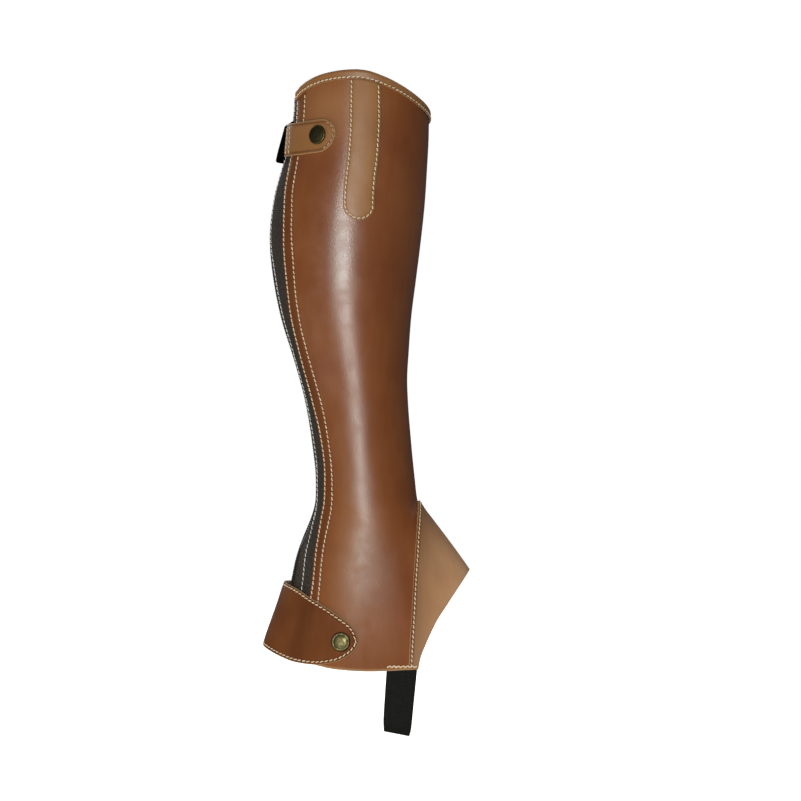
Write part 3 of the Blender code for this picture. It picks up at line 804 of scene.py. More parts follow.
# The keeper's elastic: the same as the foot strap's, painted darker as painted shade against the side light
# that falls on it
SHADED_KEEPER_ELASTIC = woven("Keeper elastic", (26, 25, 24), (9, 9, 8), 0.55, 0, 0)
TAPE_CLOTH = herringbone("Zip tape", (128, 114, 103), (20, 18, 16), 1.35, 3.1)
COIL = moulded("Zip coil", (34, 32, 31), 0.6, 0.4)
TAN = waxed_thread("Tan thread", (224, 184, 142), (198, 154, 112))
CREAM = waxed_thread("Cream thread", (255, 236, 206), (246, 208, 164))
WHITE = waxed_thread("White thread", (255, 254, 250), (226, 222, 218))
STRAW = waxed_thread("Straw thread", (250, 228, 184), (222, 194, 146))
BRASS = antique_brass("Antique brass", (112, 103, 72), (44, 38, 24), 0.4)

PIECES = {}


def added(name, data):
    obj = bpy.data.objects.new(name, data)
    bpy.context.scene.collection.objects.link(obj)
    return obj


def finished(name, mesh, materials, node=None):
    """A piece of the part, in place of a node of the frame where one is named."""
    for material in materials:
        mesh.materials.append(material)
    obj = PIECES[name] = added(name, mesh)
    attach(obj, "root")
    if node:
        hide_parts(node)
    return obj


def rounded(obj, width, segments):
    bevel = obj.modifiers.new("Round edges", "BEVEL")
    bevel.width = width * MM
    bevel.segments = segments
    bevel.limit_method = "ANGLE"
    return bevel


def shell(name, node, slot, materials, wall, points, rounding=LEATHER_ROUNDING, **layers):
    """A piece of cloth or leather. Points are its outer face, row by row, and its wall grows inwards."""
    rows, columns = points.shape[:2]
    surface = bmesh.new()
    bmesh.ops.create_grid(surface, x_segments=columns - 1, y_segments=rows - 1, size=1)
    mesh = bpy.data.meshes.new(name)
    surface.to_mesh(mesh)
    surface.free()
    mesh.vertices.foreach_set("co", (points * MM).astype(np.float32).ravel())
    for layer, values in layers.items():
        values = np.broadcast_to(values, (rows, columns)).astype(np.float32)
        mesh.attributes.new(layer, "FLOAT", "POINT").data.foreach_set("value", values.ravel())
    mesh.shade_smooth()
    obj = finished(name, mesh, materials, node)
    solidify = obj.modifiers.new("Wall", "SOLIDIFY")
    solidify.thickness = wall * MM
    solidify.offset = -1
    solidify.material_offset = 1
    solidify.material_offset_rim = 2
    rounded(obj, rounding, 2).angle_limit = math.radians(50)


def tubes(name, node, material, runs, sides):
    """Many short tubes in one mesh. A run is its centres, its two cross directions and its radii."""
    ring = np.arange(sides) * 2 * math.pi / sides
    points, faces = [], []
    for centres, broad, high, radii in runs:
        start = sum(len(part) for part in points)
        circle = np.cos(ring)[None, :, None] * broad[:, None] + np.sin(ring)[None, :, None] * high[:, None]
        points.append((centres[:, None] + circle * radii[:, None, None]).reshape(-1, 3))
        for k in range(len(centres) - 1):
            low, up = start + k * sides, start + (k + 1) * sides
            faces += [(low + i, low + (i + 1) % sides, up + (i + 1) % sides, up + i) for i in range(sides)]
        last = start + (len(centres) - 1) * sides
        faces.append(tuple(range(start + sides - 1, start - 1, -1)))
        faces.append(tuple(range(last, last + sides)))
    mesh = bpy.data.meshes.new(name)
    mesh.from_pydata((np.concatenate(points) * MM).tolist(), [], faces)
    mesh.shade_smooth()
    finished(name, mesh, [material], node)


def metal_piece(name, node, shape, matrix):
    bmesh.ops.recalc_face_normals(shape, faces=shape.faces)
    mesh = bpy.data.meshes.new(name)
    shape.to_mesh(mesh)
    shape.free()
    mesh.shade_smooth()
    obj = finished(name, mesh, [BRASS], node)
    obj.matrix_world = matrix
    return obj


class Route:
    """A line on the leather, evenly walked: its points and the outward directions there."""

    def __init__(self, angle, height, out):
        self.points, self.normals = place(angle, height, out), outward(angle, height)
        steps = np.linalg.norm(np.diff(self.points, axis=0), axis=1)
        self.walked = joined([0], np.cumsum(steps))
        self.length = self.walked[-1]

    def read(self, values, distance):
        return np.array([np.interp(distance, self.walked, column) for column in values.T])

    def at(self, distance):
        """Point, direction ahead and outward direction at a distance from the start."""
        ahead = self.read(self.points, min(distance + 0.6, self.length))
        behind = self.read(self.points, max(distance - 0.6, 0))
        return self.read(self.points, distance), unit(ahead - behind), unit(self.read(self.normals, distance))


def row_down(line, top, foot, out):
    """A route on a line down the leg, between two heights."""
    heights = spread(top, foot, ROW_STEP)
    return Route(line(heights), heights, out)


def shifted(angle, height, distance):
    """A line moved to its left, as seen from outside."""
    edge = form(angle, height)
    left = unit(np.cross(outward(angle, height), unit(np.gradient(edge, axis=0))))
    return locate(edge + left * distance)


def chained(first, *others):
    """One line from several: the first one backwards, then the others."""
    first = [values[::-1] for values in first]
    return tuple(np.concatenate(parts) for parts in zip(first, *others))


def from_edge(angle, height, outline):
    """Distance of each place of a grid from a piece's cut outline."""
    places, edge = form(angle, height).reshape(-1, 3), form(*outline)
    nearest = np.full(len(places), np.inf)
    for start in range(0, len(edge), 64):
        part = edge[start : start + 64]
        nearest = np.minimum(nearest, np.linalg.norm(places[:, None] - part[None], axis=2).min(axis=1))
    return nearest.reshape(angle.shape)


def stitch(shape, point, normal, direction, half, thread):
    """A run of thread that rises from its hole, lies on the leather and dives again."""
    shares = np.array([-1, -shape.neck, -shape.shoulder, 0, shape.shoulder, shape.neck, 1])
    rise = thread * (shape.bow * np.sqrt(np.clip(1 - shares**2, 0, 1)) - shape.sunk)
    centres = point + shares[:, None] * half * direction + rise[:, None] * normal
    across = np.broadcast_to(np.cross(normal, direction), centres.shape)
    radii = shape.thick * thread * (shape.ends + (1 - shape.ends) * np.sqrt(np.clip(1 - shares**4, 0, 1)))
    return centres, across, np.broadcast_to(shape.flat * normal, centres.shape), radii


def sewing(name, material, routes, seed, thread=THREAD):
    """Rows of stitches, each a length of thread that lies a little aslant."""
    chance = random.Random(seed)
    runs = []
    for line in routes:
        count = max(1, round(line.length / STITCH_PITCH))
        step = line.length / count
        for n in range(count):
            point, ahead, normal = line.at((n + 0.5 + chance.uniform(-0.03, 0.03)) * step)
            lean = STITCH_SLANT + chance.uniform(-0.07, 0.07)
            half = step * (STITCH_SHARE + chance.uniform(-0.04, 0.04)) / 2
            direction = unit(ahead + lean * np.cross(normal, ahead))
            runs.append(stitch(ROW_STITCH, point, normal, direction, half, thread))
    tubes(name, None, material, runs, 7)


def body_panel(name, node, stations, lines, rows, seam):
    """A body panel: rows are its two rows of stitches beside the zip, and seam is the edge at the shin."""
    angle, height = settle(stations, leg_rows(PANEL_STEP), lines, panel_top, hem)
    per_degree = degree_length(angle, height)
    first, second = (row(height) for row in rows)
    to_first, to_second = ((angle - row) * per_degree for row in (first, second))
    across = (angle - (first + second) / 2) / (np.abs(first - second) / 2)
    from_seam = (angle - seam(height)) * per_degree
    rolled = SHIN_ROLL * bell(from_seam, SHIN_ROLL_HALF) * (height > SHIN_ROLL_FOOT)
    relief = groove(to_first) + groove(to_second) + BAND_PUFF * np.clip(1 - across**2, 0, 1) - rolled
    # Painted shade on the band between the two rows, which is also made duller
    band = BAND_SHADE * np.exp(-(across**8))
    shell(
        name, node, "leather", [BODY, FLESH, EDGE], LEATHER,
        place(angle, height, relief + wear(angle, height)),
        # painted shade along both rows and on the band between them
        sewn=np.maximum(np.clip(sewn_shade(to_first) + sewn_shade(to_second), 0, 1), band),
        dulled=np.maximum(ramped(DULLED, height), band),
        # pale tone painted along the hem's cut edge, partly a painted highlight
        worn=HEM_PALE_AND_HIGHLIGHT * bell(height - hem(angle), HEM_PALE_HALF),
        # painted sheen: the leather painted paler near the top and at the ankle
        rubbed=spots(PAINTED_SHEEN_SPOTS, angle, height),
    )


def body_panels():
    wide = joined([0, 0.004, 0.008, 0.013], spread(0.022, 0.985, 1 / 66), [0.992, 0.996, 1])
    between_rows = 1 + np.array([0.07, 0.14, 0.22, 0.35, 0.5, 0.65, 0.78, 0.86, 0.93])
    outer_rows, inner_rows = (lateral_first, second_row), (medial_first, medial_second)
    body_panel(
        "outer_panel", "lateral_panel", joined(1 - wide[::-1], between_rows, [2, 2.5, 3]),
        (panel_front, second_row, lateral_first, leather_edge), outer_rows, lambda height: FRONT_SEAM - 360,
    )
    body_panel(
        "inner_panel", "medial_panel", joined([0, 0.5, 1], between_rows, 2 + wide),
        (medial_edge, *inner_rows, medial_front), inner_rows, medial_front,
    )

    def down(line, foot):
        return row_down(line, panel_top(line(90.0)) - BINDING_DEPTH, foot, -0.5 * GROOVE_DEPTH)

    for name, rows, feet, seed in (
        ("outer_zip_rows", outer_rows, OUTER_ROW_FEET, 3),
        ("inner_zip_rows", inner_rows, INNER_ROW_FEET, 4),
    ):
        sewing(name, CREAM, [down(line, foot) for line, foot in zip(rows, feet)], seed)
    shin = row_down(beside(lambda height: FRONT_SEAM, -SHIN_ROW), SHIN_ROW_TOP, SHIN_ROW_FOOT, -SEAM_SUNK)
    sewing("shin_row", CREAM, [shin], 5)


def elastic_gusset():
    stations = joined(spread(0, 0.92, 1 / 12), [0.96, 1, 1.1, 1.3, 1.65, 2])
    rows, lines = leg_rows(RIB_PITCH / RIB_STEPS), (gusset_start, gusset_row, elastic_edge)
    angle, height = settle(stations, rows, lines, back_top, lambda angle: hem(angle) + 1)
    to_row = (angle - gusset_row(height)) * degree_length(angle, height)
    ribs = RIB_DEPTH * (0.5 * np.cos(height * 2 * math.pi / RIB_PITCH) - 0.5)
    shell(
        "elastic_gusset_cloth", "elastic_gusset", "gusset_elastic", [GUSSET] * 3, ELASTIC,
        place(angle, height, UNDER + ribs + 0.8 * groove(to_row)), THIN_ROUNDING,
    )
    row = row_down(gusset_row, GUSSET_TOP - 1, GUSSET_ROW_FOOT, UNDER)
    sewing("gusset_stitches", WHITE, [row], 6, GUSSET_THREAD)


def zip_tape(name, node, near_edge, far_edge):
    stations, foot = spread(0, 1, 1 / 14), lambda angle: ZIP_FOOT
    angle, height = settle(stations, leg_rows(TAPE_STEP), (near_edge, far_edge), back_top, foot)
    across = np.abs((angle - zip_line(height)) * degree_length(angle, height))
    points = place(angle, height, zip_depth(angle, height))
    looks = {"rounding": TAPE_ROUNDING, "across": across, "along": height}
    shell(name, node, "zip_tape", [TAPE_CLOTH] * 3, TAPE, points, **looks)


def zip_fastener():
    def inner_side(height):
        return turned(zip_line(height), height, ZIP_HALF + ZIP_UNDER + heel_turn(height))

    outer_side, outer_middle, inner_middle = (
        beside(zip_line, distance) for distance in (-ZIP_HALF - ZIP_UNDER, -TAPE_PARTING, TAPE_PARTING)
    )
    zip_tape("zip_tape_outer", "zip_tape_lateral", outer_side, outer_middle)
    zip_tape("zip_tape_inner", "zip_tape_medial", inner_middle, inner_side)
    heights = spread(COIL_TOP, ZIP_FOOT + 1, 1.0)
    angles = zip_line(heights)
    middle = Route(angles, heights, zip_depth(angles, heights) + COIL_LIFT)
    reach, rise, radii = np.array(TOOTH).T
    runs = []
    for n in range(int(middle.length / TOOTH_PITCH)):
        point, ahead, normal = middle.at((n + 0.5) * TOOTH_PITCH)
        side = np.cross(normal, ahead) * (1 if n % 2 else -1) + TOOTH_LEAN * ahead
        centres = point + reach[:, None] * side + rise[:, None] * normal
        runs.append((centres, *(np.broadcast_to(way, centres.shape) for way in (ahead, normal)), radii))
    tubes("zip_coil", "zip_chain", COIL, runs, 6)


def standing(angle, height, out):
    """A matrix that stands an object's base on the form, its own +Z outwards and its own +Y up the leg."""
    normal = Vector(outward(angle, height))
    across = Vector((0, 0, 1)).cross(normal).normalized()
    turn = Matrix((across, normal.cross(across), normal)).transposed().to_4x4()
    return Matrix.Translation(MM * Vector(place(angle, height, out))) @ turn


def on_zip(level, lift):
    """A matrix that stands an object's base over the zip."""
    angle = zip_line(level)
    return standing(angle, level, zip_depth(angle, SLIDER_LEVEL) + lift)


def plate(shape, outline, low, high):
    """Adds a flat plate of an outline, in the shape's own X and Y, between two heights."""
    bottom = [shape.verts.new((x * MM, y * MM, low * MM)) for x, y in outline]
    raised = bmesh.ops.extrude_face_region(shape, geom=[shape.faces.new(bottom)])["geom"]
    moved = [item for item in raised if isinstance(item, bmesh.types.BMVert)]
    bmesh.ops.translate(shape, verts=moved, vec=(0, 0, (high - low) * MM))


def arc(radius, middle, first, last):
    """Points of an arc round a middle on the Y axis, 20 degrees apart."""
    turns = [math.radians(turn) for turn in range(first, last + 1, 20)]
    return [(radius * math.cos(turn), middle + radius * math.sin(turn)) for turn in turns]


def zip_slider():
    half_shield = [(0.9, 3.4), (2.6, 4.9), (4.0, 4.6), (3.4, -1), (2.7, -4.9)]
    slider = bmesh.new()
    plate(slider, [(-x, y) for x, y in half_shield[2::-1]] + half_shield + [(-2.7, -4.9), (-3.4, -1)], 0, 1.1)
    for start, end in ((2.8, 1.4), (-2.8, -4.0)):
        plate(slider, [(-0.9, start), (0.9, start), (0.9, end), (-0.9, end)], 1.1, 2.2)
    body = metal_piece("zip_slider_body", "zip_slider", slider, on_zip(SLIDER_LEVEL, 2.0))
    pull = bmesh.new()
    plate(pull, arc(3, 4.5, 0, 180) + arc(2.2, -5.3, 180, 360), 0, 1.1)
    tab = metal_piece("zip_pull_tab", "zip_pull", pull, on_zip(SLIDER_LEVEL - 5, 4.5))
    for obj in (body, tab):
        rounded(obj, METAL_ROUNDING, 3)


def top_binding():
    """The strip folded over the top, from the zip's inner side round the shin to the outer panel's back."""
    share = spread(0, 1, 1 / 270)
    top = 100.0
    for _ in range(8):
        angle = lerp(medial_edge(top) - 360, leather_edge(top), share)
        top = panel_top(np.where(angle >= FRONT_SEAM - 360, angle, angle + 360))
    inside, outside = UNDER - BINDING, SEAM + BINDING
    radius = (outside - inside) / 2
    bend = np.radians(spread(180, 0, 15))
    crest = BINDING_CREST - radius
    inner_leg = spread(BINDING_CREST - BINDING_INNER_DEPTH, crest - 0.5, 0.8)
    outer_leg = spread(crest - 0.35, BINDING_CREST - BINDING_DEPTH, 0.35)
    rise = joined(inner_leg, crest + radius * np.sin(bend), outer_leg)
    fold = (inside + outside) / 2 + radius * np.cos(bend)
    out = joined(np.full(inner_leg.shape, inside), fold, np.full(outer_leg.shape, outside))
    row_level = BINDING_CREST - BINDING_ROW
    to_row = np.where(out >= outside - 0.01, rise - row_level, 9.0)
    points = place(angle[None, :], top[None, :] + rise[:, None], (out + groove(to_row))[:, None])
    # painted shade along the binding's stitch groove
    looks = {"rounding": THIN_ROUNDING, "sewn": sewn_shade(to_row)[:, None]}
    shell("binding", "top_binding", "trim_leather", [TRIM, FLESH, EDGE], BINDING, points, **looks)
    sewing("binding_row", CREAM, [Route(angle, top + row_level, outside - SEAM_SUNK)], 7)


def laid_on(name, node, slot, leather, places, outline, lift=0.0, edge_row=LAID_ROW, worn=1.0, shaded=0.0):
    """A piece of leather laid on the panels, with a groove for a row of stitches inside its cut outline."""
    distance = from_edge(*places, outline)
    to_row = distance - edge_row
    crowned = CROWN * (1 - bell(np.maximum(to_row, 0), CROWN_HALF))
    relief = groove(to_row) + crowned - LAID_ROLL * bell(distance, LAID_ROLL_HALF) + pressed(distance)
    shell(
        name, node, slot, [leather, FLESH, EDGE], LAID_ON,
        place(*places, LAID_FACE + lift + relief),
        # painted shade along the stitch groove and over the given shaded places
        sewn=np.maximum(sewn_shade(to_row), shaded),
        # pale tone painted along the cut edge, partly a painted highlight
        worn=worn * pale_edge_and_highlight(distance),
        dulled=ramped(DULLED, places[1]),
    )


def side_patch():
    radius, shoulder = PATCH[0].half, PATCH_FOOT + PATCH[0].half
    straight = spread(PATCH_TOP, shoulder, 1.6)
    bends = np.radians(spread(4, 87, 4))
    levels = joined(straight, shoulder - radius * np.sin(bends))
    halves = joined(patch_half(straight), radius * np.cos(bends))
    edge = np.array([-1, -0.95, -0.9, -0.85, -0.8, -0.74])
    sides = joined(edge, spread(-0.66, 0.66, 0.11), -edge[::-1])

    def at(side, level, half):
        share = np.maximum(0, (level - shoulder) / (PATCH_TOP - shoulder))
        settled = level
        for _ in range(4):
            angle = angle_at(patch_centre(settled) - half * side, settled)
            settled = level + share * (top_rim(angle) - BINDING_DEPTH - SEAM - PATCH_TOP)
        return angle, settled

    places = at(sides[None, :], levels[:, None], halves[:, None])
    outline = chained(*(at(side, levels[::-1], halves[::-1]) for side in (1, -1)))
    # The patch's cut edge is painted only faintly pale
    looks = {"edge_row": PATCH_ROW, "worn": 0.1}
    laid_on("side_patch_leather", "side_patch", "trim_leather", TRIM, places, outline, **looks)
    row = Route(*shifted(*outline, PATCH_ROW), LAID_FACE - PATCH_SUNK)
    sewing("patch_row", CREAM, [row], 8)


def tab_lift(distance):
    """How far along its rise over the elastic the tab is, at a distance from its tip."""
    return np.clip((distance - TAB_LIFT_FROM) / TAB_LIFT_OVER, 0, 1)


def keeper_strap():
    def at(distance, side):
        half = TAB_HALF * np.sqrt(np.maximum(0, 1 - np.maximum(0, 1 - distance / TAB_HALF) ** 2))
        share = distance / TAB_LENGTH
        height = TAB_LEVEL + lerp(TAB_RISE, -TAB_DROP, share) + half * side
        return turned(TAB_TIP_ANGLE, TAB_LEVEL, distance) + TAB_LEAN * share * side, height

    distances = joined([0.06, 0.25, 0.6, 1.1, 1.7, 2.5, 3.4, 4.5], spread(5.6, TAB_LENGTH, 1.1))
    sides = joined(spread(1, 0.7, 0.05), spread(0.6, -0.6, 0.1), spread(-0.7, -1, 0.05))
    distance, side = np.meshgrid(distances, sides)
    angle, height = at(distance, side)
    lifted = tab_lift(distance)
    stud = np.hypot(distance - TAB_SNAP_FROM_TIP, height - TAB_SNAP_LEVEL)
    lift = KEEPER_LIFT * lifted**2 * (3 - 2 * lifted) - TAB_DENT * np.exp(-((stud / TAB_DENT_HALF) ** 4))
    outline = chained(at(distances, -1), at(distances, 1))
    laid_on("tab_leather", "snap_tab", "trim_leather", TRIM, (angle, height), outline, lift)

    tip = np.array([0.06, 0.25, 0.6, 1.2, 2.0, 3.0, 4.2, 5.5, 7.5])
    tip_line = chained(at(tip, -1), at(tip, 1))
    tip_row = Route(*shifted(*tip_line, TIP_ROW), LAID_FACE - TIP_SUNK)
    sewing("tab_tip_row", TAN, [tip_row], 9, TAB_THREAD)
    across = spread(0.86, -0.86, 0.08)
    back_rows = [
        Route(*at(distance, across), LAID_FACE + KEEPER_LIFT * tab_lift(distance) - END_SUNK)
        for distance in (TAB_LENGTH - inside for inside in TAB_END_ROWS)
    ]
    sewing("tab_back_rows", STRAW, back_rows, 10)


def keeper_elastic():
    low = LAP + KEEPER_WALL
    tuck = turned(TAB_TIP_ANGLE, TAB_LEVEL, TAB_LENGTH - KEEPER_UNDER)

    def band(u, side):
        angle = lerp(tuck + TAB_LEAN * side, KEEPER_END_ANGLE, u)
        middle = TAB_LEVEL - lerp(TAB_DROP - TAB_RISE, KEEPER_DROP, np.minimum(1, 2 * u))
        return angle, middle + TAB_HALF * side

    u, side = np.meshgrid(spread(0, 1, 1 / 180), spread(1, -1, 1 / 12))
    swell = np.sin(math.pi * np.clip((u - KEEPER_SWELL_FROM) / KEEPER_SWELL_OVER, 0, 1)) ** 0.8
    bulge = (KEEPER_BULGE * (1 - KEEPER_CROWN * side**2) - low) * swell
    ribs = KEEPER_RIB_DEPTH * (0.5 - 0.5 * np.cos(u * 2 * math.pi * KEEPER_RIBS))
    shell(
        "keeper_elastic_cloth", "tab_elastic", "strap_elastic", [SHADED_KEEPER_ELASTIC] * 3, KEEPER_WALL,
        place(*band(u, side), low + bulge - ribs), THIN_ROUNDING,
    )
    across = spread(0.85, -0.85, 0.08)
    rows = [Route(*band(share, across), low + 0.05) for share in KEEPER_END_ROWS]
    sewing("keeper_end_rows", CREAM, rows, 11)


def heel_flap():
    first, last = HEEL_FLAP[0].angle, HEEL_FLAP[-1].angle
    angles = lerp(first, last, spread(0, 1, 1 / 130) ** 1.7)
    edge = np.array([0, 0.016, 0.032, 0.05, 0.07])
    angle, down = np.meshgrid(angles, joined(edge, spread(0.1, 0.9, 0.05), 1 - edge[::-1]))
    height = lerp(flap_top(angle), flap_bottom(angle), down)
    outline = chained((angles, flap_bottom(angles)), (angles, flap_top(angles)))
    # How deep the folds are, and how much painted shade lies on the flap
    deep, dark = (
        sum(most * bell(angle - middle, width) for middle, width, most in rows)
        for rows in (FLAP_FOLDS, FLAP_PAINTED_SHADE)
    )
    folds = -deep * np.sin(math.pi * down) ** 0.5
    laid_on("heel_flap_leather", "heel_flap", "leather", FLAP, (angle, height), outline, folds, shaded=dark)
    edge_row = Route(*shifted(*outline, LAID_ROW), LAID_FACE - LAID_SUNK)
    end_rows = [
        row_down(lambda height: last - turn, FLAP_END_TOP, FLAP_END_FOOT, LAID_FACE - END_SUNK)
        for turn in FLAP_END_ROWS
    ]
    sewing("flap_rows", CREAM, [edge_row, *end_rows], 12)


def vamp():
    def at(side, share):
        """From the free edge, at share 0, to the seam. Side 0 is the ridge of the instep."""
        edge_height = lerp(VAMP_TIP, VAMP_FOOT, np.abs(side) ** 1.7)
        seam_height = lerp(VAMP_TOP, VAMP_SEAM_FOOT, side**2)
        edge_angle = angle_at(vamp_free_x(edge_height), edge_height)
        seam_angle = angle_at(vamp_seam_x(seam_height), seam_height)
        angle = np.where(np.abs(side) < 1e-6, 0.0, np.copysign(lerp(edge_angle, seam_angle, share), -side))
        return angle, lerp(edge_height, seam_height, share)

    sides = spread(-1, 1, 1 / 64)
    shares = joined([0, 0.012, 0.024, 0.045], spread(0.07, 0.9, 0.025), [0.92, 0.94, 0.955, 0.97, 0.985, 1])
    side, share = np.meshgrid(sides, shares)
    angle, height = at(side, share)
    distance, free = (from_edge(angle, height, at(sides, edge)) for edge in (1, 0))
    rolled = LAID_ROLL * bell(distance, LAID_ROLL_HALF) + FREE_ROLL * bell(free, LAID_ROLL_HALF)
    worn = wear(angle, height) * bell(distance, 10)
    relief = groove(distance - LAID_ROW) - rolled + pressed(distance) + worn
    for fold in VAMP_FOLDS:
        relief -= fold.depth * bell(side - fold.side, fold.width) * np.sin(math.pi * share)
    # Painted shade: the vamp is painted darker towards its seam
    dark = VAMP_PAINTED_SHADE * np.clip(1 - distance / VAMP_PAINTED_SHADE_REACH, 0, 1) ** 1.4
    shell(
        "vamp_leather", "vamp", "trim_leather", [VAMP, FLESH, EDGE], LAID_ON,
        place(angle, height, LAID_FACE + relief),
        # painted shade along the row and towards the seam, and a pale cut-edge tone that is partly a painted
        # highlight
        sewn=np.clip(sewn_shade(distance - LAID_ROW) + dark, 0, 1), worn=pale_edge_and_highlight(distance),
    )
    fine = spread(0.06, 1, 0.01)
    outer = shifted(*at(-fine, 1), LAID_ROW)
    inner_angle, inner_height = shifted(*at(fine, 1), -LAID_ROW)
    inner = (inner_angle - 360, inner_height)
    over = [lerp(start[0], end[0], spread(0, 1, 0.1)[1:-1]) for start, end in zip(outer, inner)]
    row = chained(outer, over, inner)
    sewing("vamp_rows", CREAM, [Route(*row, LAID_FACE - LAID_SUNK + wear(*row))], 13)


def foot_strap():
    """Elastic under the foot. Each row of it runs from its front edge to its back one."""
    u = spread(0, 1, 1 / (STRAP_RIBS * 5))
    lowest = lerp(STRAP_FOOT_FRONT, STRAP_FOOT_BACK, u)
    foot_x = lerp(STRAP_FOOT_FRONT_X, STRAP_FOOT_BACK_X, u)
    top_x = lerp(STRAP_FRONT_X, STRAP_BACK_X, u)
    half = -place(angle_at(top_x, VAMP_FOOT), VAMP_FOOT, UNDER)[:, 1]
    drop = STRAP_TOP - (lowest + STRAP_TURN)
    turn = STRAP_TURN * math.pi / 2
    rows = []
    for part in spread(0, 1, 1.5 / STRAP_LENGTH):
        walked = min(part, 1 - part) * STRAP_LENGTH
        bend = np.clip((walked - drop) / turn, 0, 1) * math.pi / 2
        height = np.where(walked < drop, STRAP_TOP - walked, lowest + STRAP_TURN * (1 - np.sin(bend)))
        beyond = np.clip((walked - drop - turn) / (STRAP_LENGTH / 2 - drop - turn), 0, 1)
        inset = np.where(beyond > 0, lerp(STRAP_TURN, half, beyond), STRAP_TURN * (1 - np.cos(bend)))
        upper = np.maximum(height, VAMP_FOOT)
        sewn = place(angle_at(top_x, upper), upper, UNDER)
        sunk = np.clip((VAMP_FOOT - height) / (VAMP_FOOT - lowest), 0, 1)
        drawn_in = STRAP_DRAWN_IN * np.sin(bend) ** 4 * (1 - 2 * u)
        y = np.where(height >= VAMP_FOOT, -sewn[:, 1], half) - inset
        x = lerp(sewn[:, 0], foot_x, sunk) - drawn_in
        rows.append(np.stack([x, -y if part <= 0.5 else y, height], axis=-1))
    points = np.stack(rows)
    facing = np.cross(np.gradient(points, axis=1), np.gradient(points, axis=0))
    ribs = STRAP_RIB_DEPTH * (0.5 - 0.5 * np.cos(u * STRAP_RIBS * 2 * math.pi))
    shell(
        "foot_elastic_cloth", "foot_strap", "strap_elastic", [BLACK_ELASTIC] * 3, STRAP_WALL,
        points - unit(facing) * ribs[None, :, None], STRAP_ROUNDING,
    )


def strap_bars():
    """The zigzag bar through panel, vamp and elastic above each end of the foot strap."""
    upwards = np.array([0, 0, 1.0])
    chance = random.Random(14)
    runs = []
    for way in (1, -1):
        for n in range(BAR_STITCHES):
            x = lerp(STRAP_BACK_X + 0.9, STRAP_FRONT_X - 1.5, n / (BAR_STITCHES - 1))
            level = BAR_LEVEL + chance.uniform(-0.1, 0.1)
            angle = way * angle_at(x, level)
            face = LAID_FACE if x > vamp_seam_x(level) else 0
            point = place(angle, level, face - END_SUNK + wear(angle, level))
            normal = outward(angle, level)
            direction = unit(unit(np.cross(normal, upwards)) + BAR_SLANTS[n % 2] * upwards)
            runs.append(stitch(BAR_STITCH, point, normal, direction, BAR_HALF, BAR_THREAD))
    tubes("strap_bars", None, CREAM, runs, 7)


def press_stud(name, node, angle, height):
    """A press stud's cap: a low dome in a rolled rim."""
    circle = [(math.cos(turn), math.sin(turn)) for turn in np.arange(SNAP_STEPS) * 2 * math.pi / SNAP_STEPS]
    shape = bmesh.new()
    layer = shape.verts.layers.float.new("recess")
    rings = []
    for row in SNAP_PROFILE:
        radius, rise = row.radius * SNAP_RADIUS * MM, row.rise * SNAP_HEIGHT * MM
        around = circle if radius else circle[:1]
        ring = [shape.verts.new((x * radius, y * radius, rise)) for x, y in around]
        for vert in ring:
            vert[layer] = row.recess
        rings.append(ring)
    for upper, lower in zip(rings, rings[1:]):
        for i in range(SNAP_STEPS):
            corners = ((upper, i), (lower, i), (lower, i + 1), (upper, i + 1))
            shape.faces.new(list(dict.fromkeys(ring[k % len(ring)] for ring, k in corners)))
    cap = metal_piece(name, node, shape, standing(angle, height, LAP + LAID_FACE))
    cap.data.set_sharp_from_angle(angle=math.radians(50))


def press_studs():
    tab_angle = turned(TAB_TIP_ANGLE, TAB_LEVEL, TAB_SNAP_FROM_TIP)
    press_stud("upper_stud", "snap_cap_top", tab_angle, TAB_SNAP_LEVEL)
    press_stud("lower_stud", "snap_cap_bottom", FLAP_SNAP_ANGLE, FLAP_SNAP_LEVEL)


# The photograph's view: from the outer side, level, with a long lens. Lengths in metres
CAMERA_PLACE = (0.0396, -4.0, -0.1144)
FRAME_WIDTH = 0.5711
SENSOR = 36.0


def camera():
    data = bpy.data.cameras.new("Camera")
    data.sensor_width = SENSOR
    data.lens = SENSOR * -CAMERA_PLACE[1] / FRAME_WIDTH
    data.clip_end = 60
    obj = added("Camera", data)
    obj.location = CAMERA_PLACE
    obj.rotation_euler = (math.pi / 2, 0, 0)
    bpy.context.scene.camera = obj


# Softboxes round the leg, in metres and watts. Azimuth 0 stands at the camera, and 90 is on the toe's side
SOFTBOXES = table(
    "name azimuth elevation distance width height power colour",
    ("Key", -5, -5, 2.2, 0.62, 1.8, 29, (1.0, 0.99, 0.94)),
    ("Key core", -6, 0, 2.2, 0.3, 0.5, 5.5, (0.7, 0.96, 1.0)),
    ("Left", -62, -42, 2.2, 1.4, 1.2, 10.5, (1.0, 0.97, 0.82)),
    ("Back high", 190, 40, 2.6, 1.6, 1.4, 26, (1.0, 0.99, 0.97)),
    ("Inner high", 214, 26, 2.6, 1.2, 1.4, 14, (1.0, 0.99, 0.97)),
    ("Toe high", 128, 42, 2.4, 1.1, 1.1, 9, (1.0, 0.97, 0.9)),
)
LIGHTS_AIM = (0.01, 0, -0.1)
AMBIENT = 0.07


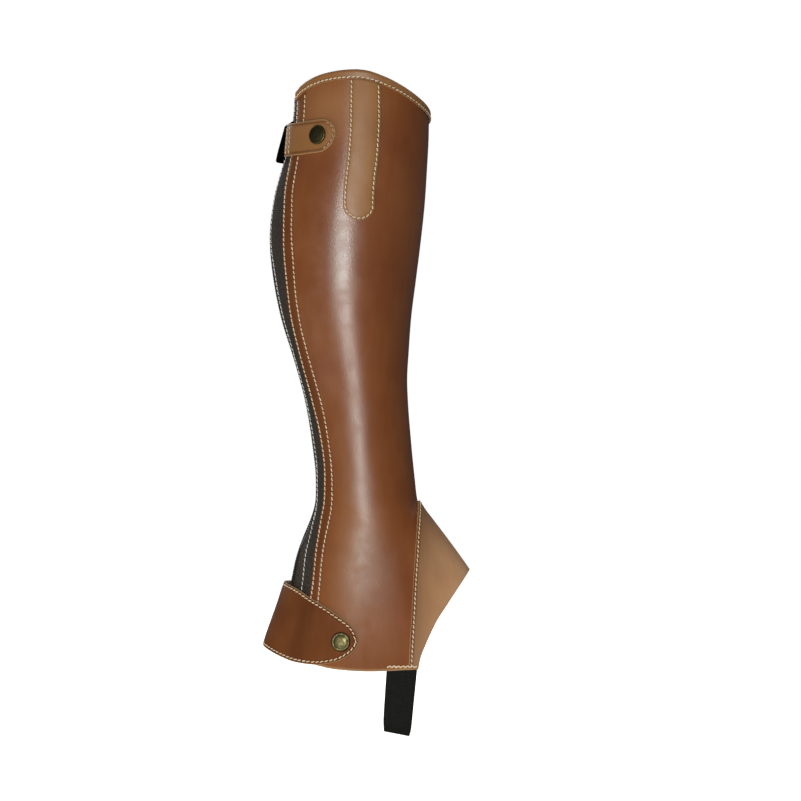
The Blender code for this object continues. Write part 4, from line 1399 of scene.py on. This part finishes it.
def studio():
    """The softboxes, and a world that looks white and lights the part only faintly."""
    for box in SOFTBOXES:
        light = bpy.data.lights.new(box.name, "AREA")
        light.shape = "RECTANGLE"
        light.size, light.size_y = box.width, box.height
        light.energy = box.power
        light.color = box.colour
        turn, tilt = math.radians(box.azimuth), math.radians(box.elevation)
        way = Vector((math.sin(turn) * math.cos(tilt), -math.cos(turn) * math.cos(tilt), math.sin(tilt)))
        obj = added(box.name, light)
        obj.location = Vector(LIGHTS_AIM) + way * box.distance
        obj.rotation_euler = way.to_track_quat("Z", "Y").to_euler()
    world = bpy.data.worlds.new("Studio")
    world.use_nodes = True
    nodes, links = world.node_tree.nodes, world.node_tree.links
    seen = nodes.new("ShaderNodeLightPath").outputs["Is Camera Ray"]
    strength = nodes.new("ShaderNodeMapRange")
    strength.inputs["To Min"].default_value = AMBIENT
    links.new(seen, strength.inputs["Value"])
    links.new(strength.outputs[0], nodes["Background"].inputs["Strength"])
    nodes["Background"].inputs["Color"].default_value = (1, 1, 1, 1)
    bpy.context.scene.world = world
    bpy.context.scene.view_settings.view_transform = "Standard"


FLOOR_RADIUS = 25
FLOOR_GAP = 0.004


def floor():
    circle = bmesh.new()
    bmesh.ops.create_circle(circle, cap_ends=True, segments=96, radius=FLOOR_RADIUS)
    mesh = bpy.data.meshes.new("Floor")
    circle.to_mesh(mesh)
    circle.free()
    material = bpy.data.materials.new("Pale floor")
    material.use_nodes = True
    for socket, value in (
        ("Base Color", (0.86, 0.86, 0.86, 1)),
        ("Roughness", 0.9),
        ("Emission Color", (1, 1, 1, 1)),
        ("Emission Strength", 0.99),
    ):
        material.node_tree.nodes["Principled BSDF"].inputs[socket].default_value = value
    mesh.materials.append(material)
    obj = added("Floor", mesh)
    obj.location.z = cad_box[0][2] - FLOOR_GAP
    obj.visible_glossy = obj.visible_diffuse = obj.visible_shadow = False


# How each piece of leather or cloth was cut: its width and length laid flat, its flat area, how it is held,
# what it lies on, and the sewing and studs on it
PANELS = ["outer_panel", "inner_panel"]
CUTS = table(
    "piece width length area held rests_on sewing",
    ("outer_panel", 151, 424, 46800, "stretched", ["elastic_gusset_cloth"], ["outer_zip_rows"]),
    ("inner_panel", 158, 411, 44400, "stretched", ["zip_tape_inner"], ["inner_zip_rows", "shin_row"]),
    ("elastic_gusset_cloth", 52, 402, 10850, "stretched", ["zip_tape_outer"], ["gusset_stitches"]),
    ("zip_tape_outer", 18.4, 396, 7180, "stretched", ["zip_coil"], []),
    ("zip_tape_inner", 24.9, 398, 7890, "stretched", ["zip_coil"], []),
    ("binding", 15, 282, 3930, "folded", PANELS, ["binding_row"]),
    ("side_patch_leather", 23.4, 106, 2200, "laid", ["outer_panel"], ["patch_row"]),
    ("tab_leather", 25.3, 53, 1100, "laid", ["outer_panel"], ["tab_tip_row", "tab_back_rows", "upper_stud"]),
    ("keeper_elastic_cloth", 24.5, 78, 1860, "stretched", ["tab_leather", PANELS[1]], ["keeper_end_rows"]),
    ("heel_flap_leather", 58, 126, 5170, "laid", PANELS, ["flap_rows", "lower_stud"]),
    ("vamp_leather", 100, 186, 7200, "laid", PANELS, ["vamp_rows"]),
    ("foot_elastic_cloth", 21.6, 181, 3570, "stretched", PANELS, ["strap_bars"]),
)


def build():
    camera()
    body_panels()
    elastic_gusset()
    zip_fastener()
    zip_slider()
    top_binding()
    side_patch()
    keeper_strap()
    keeper_elastic()
    heel_flap()
    vamp()
    foot_strap()
    strap_bars()
    press_studs()
    studio()
    floor()


build()
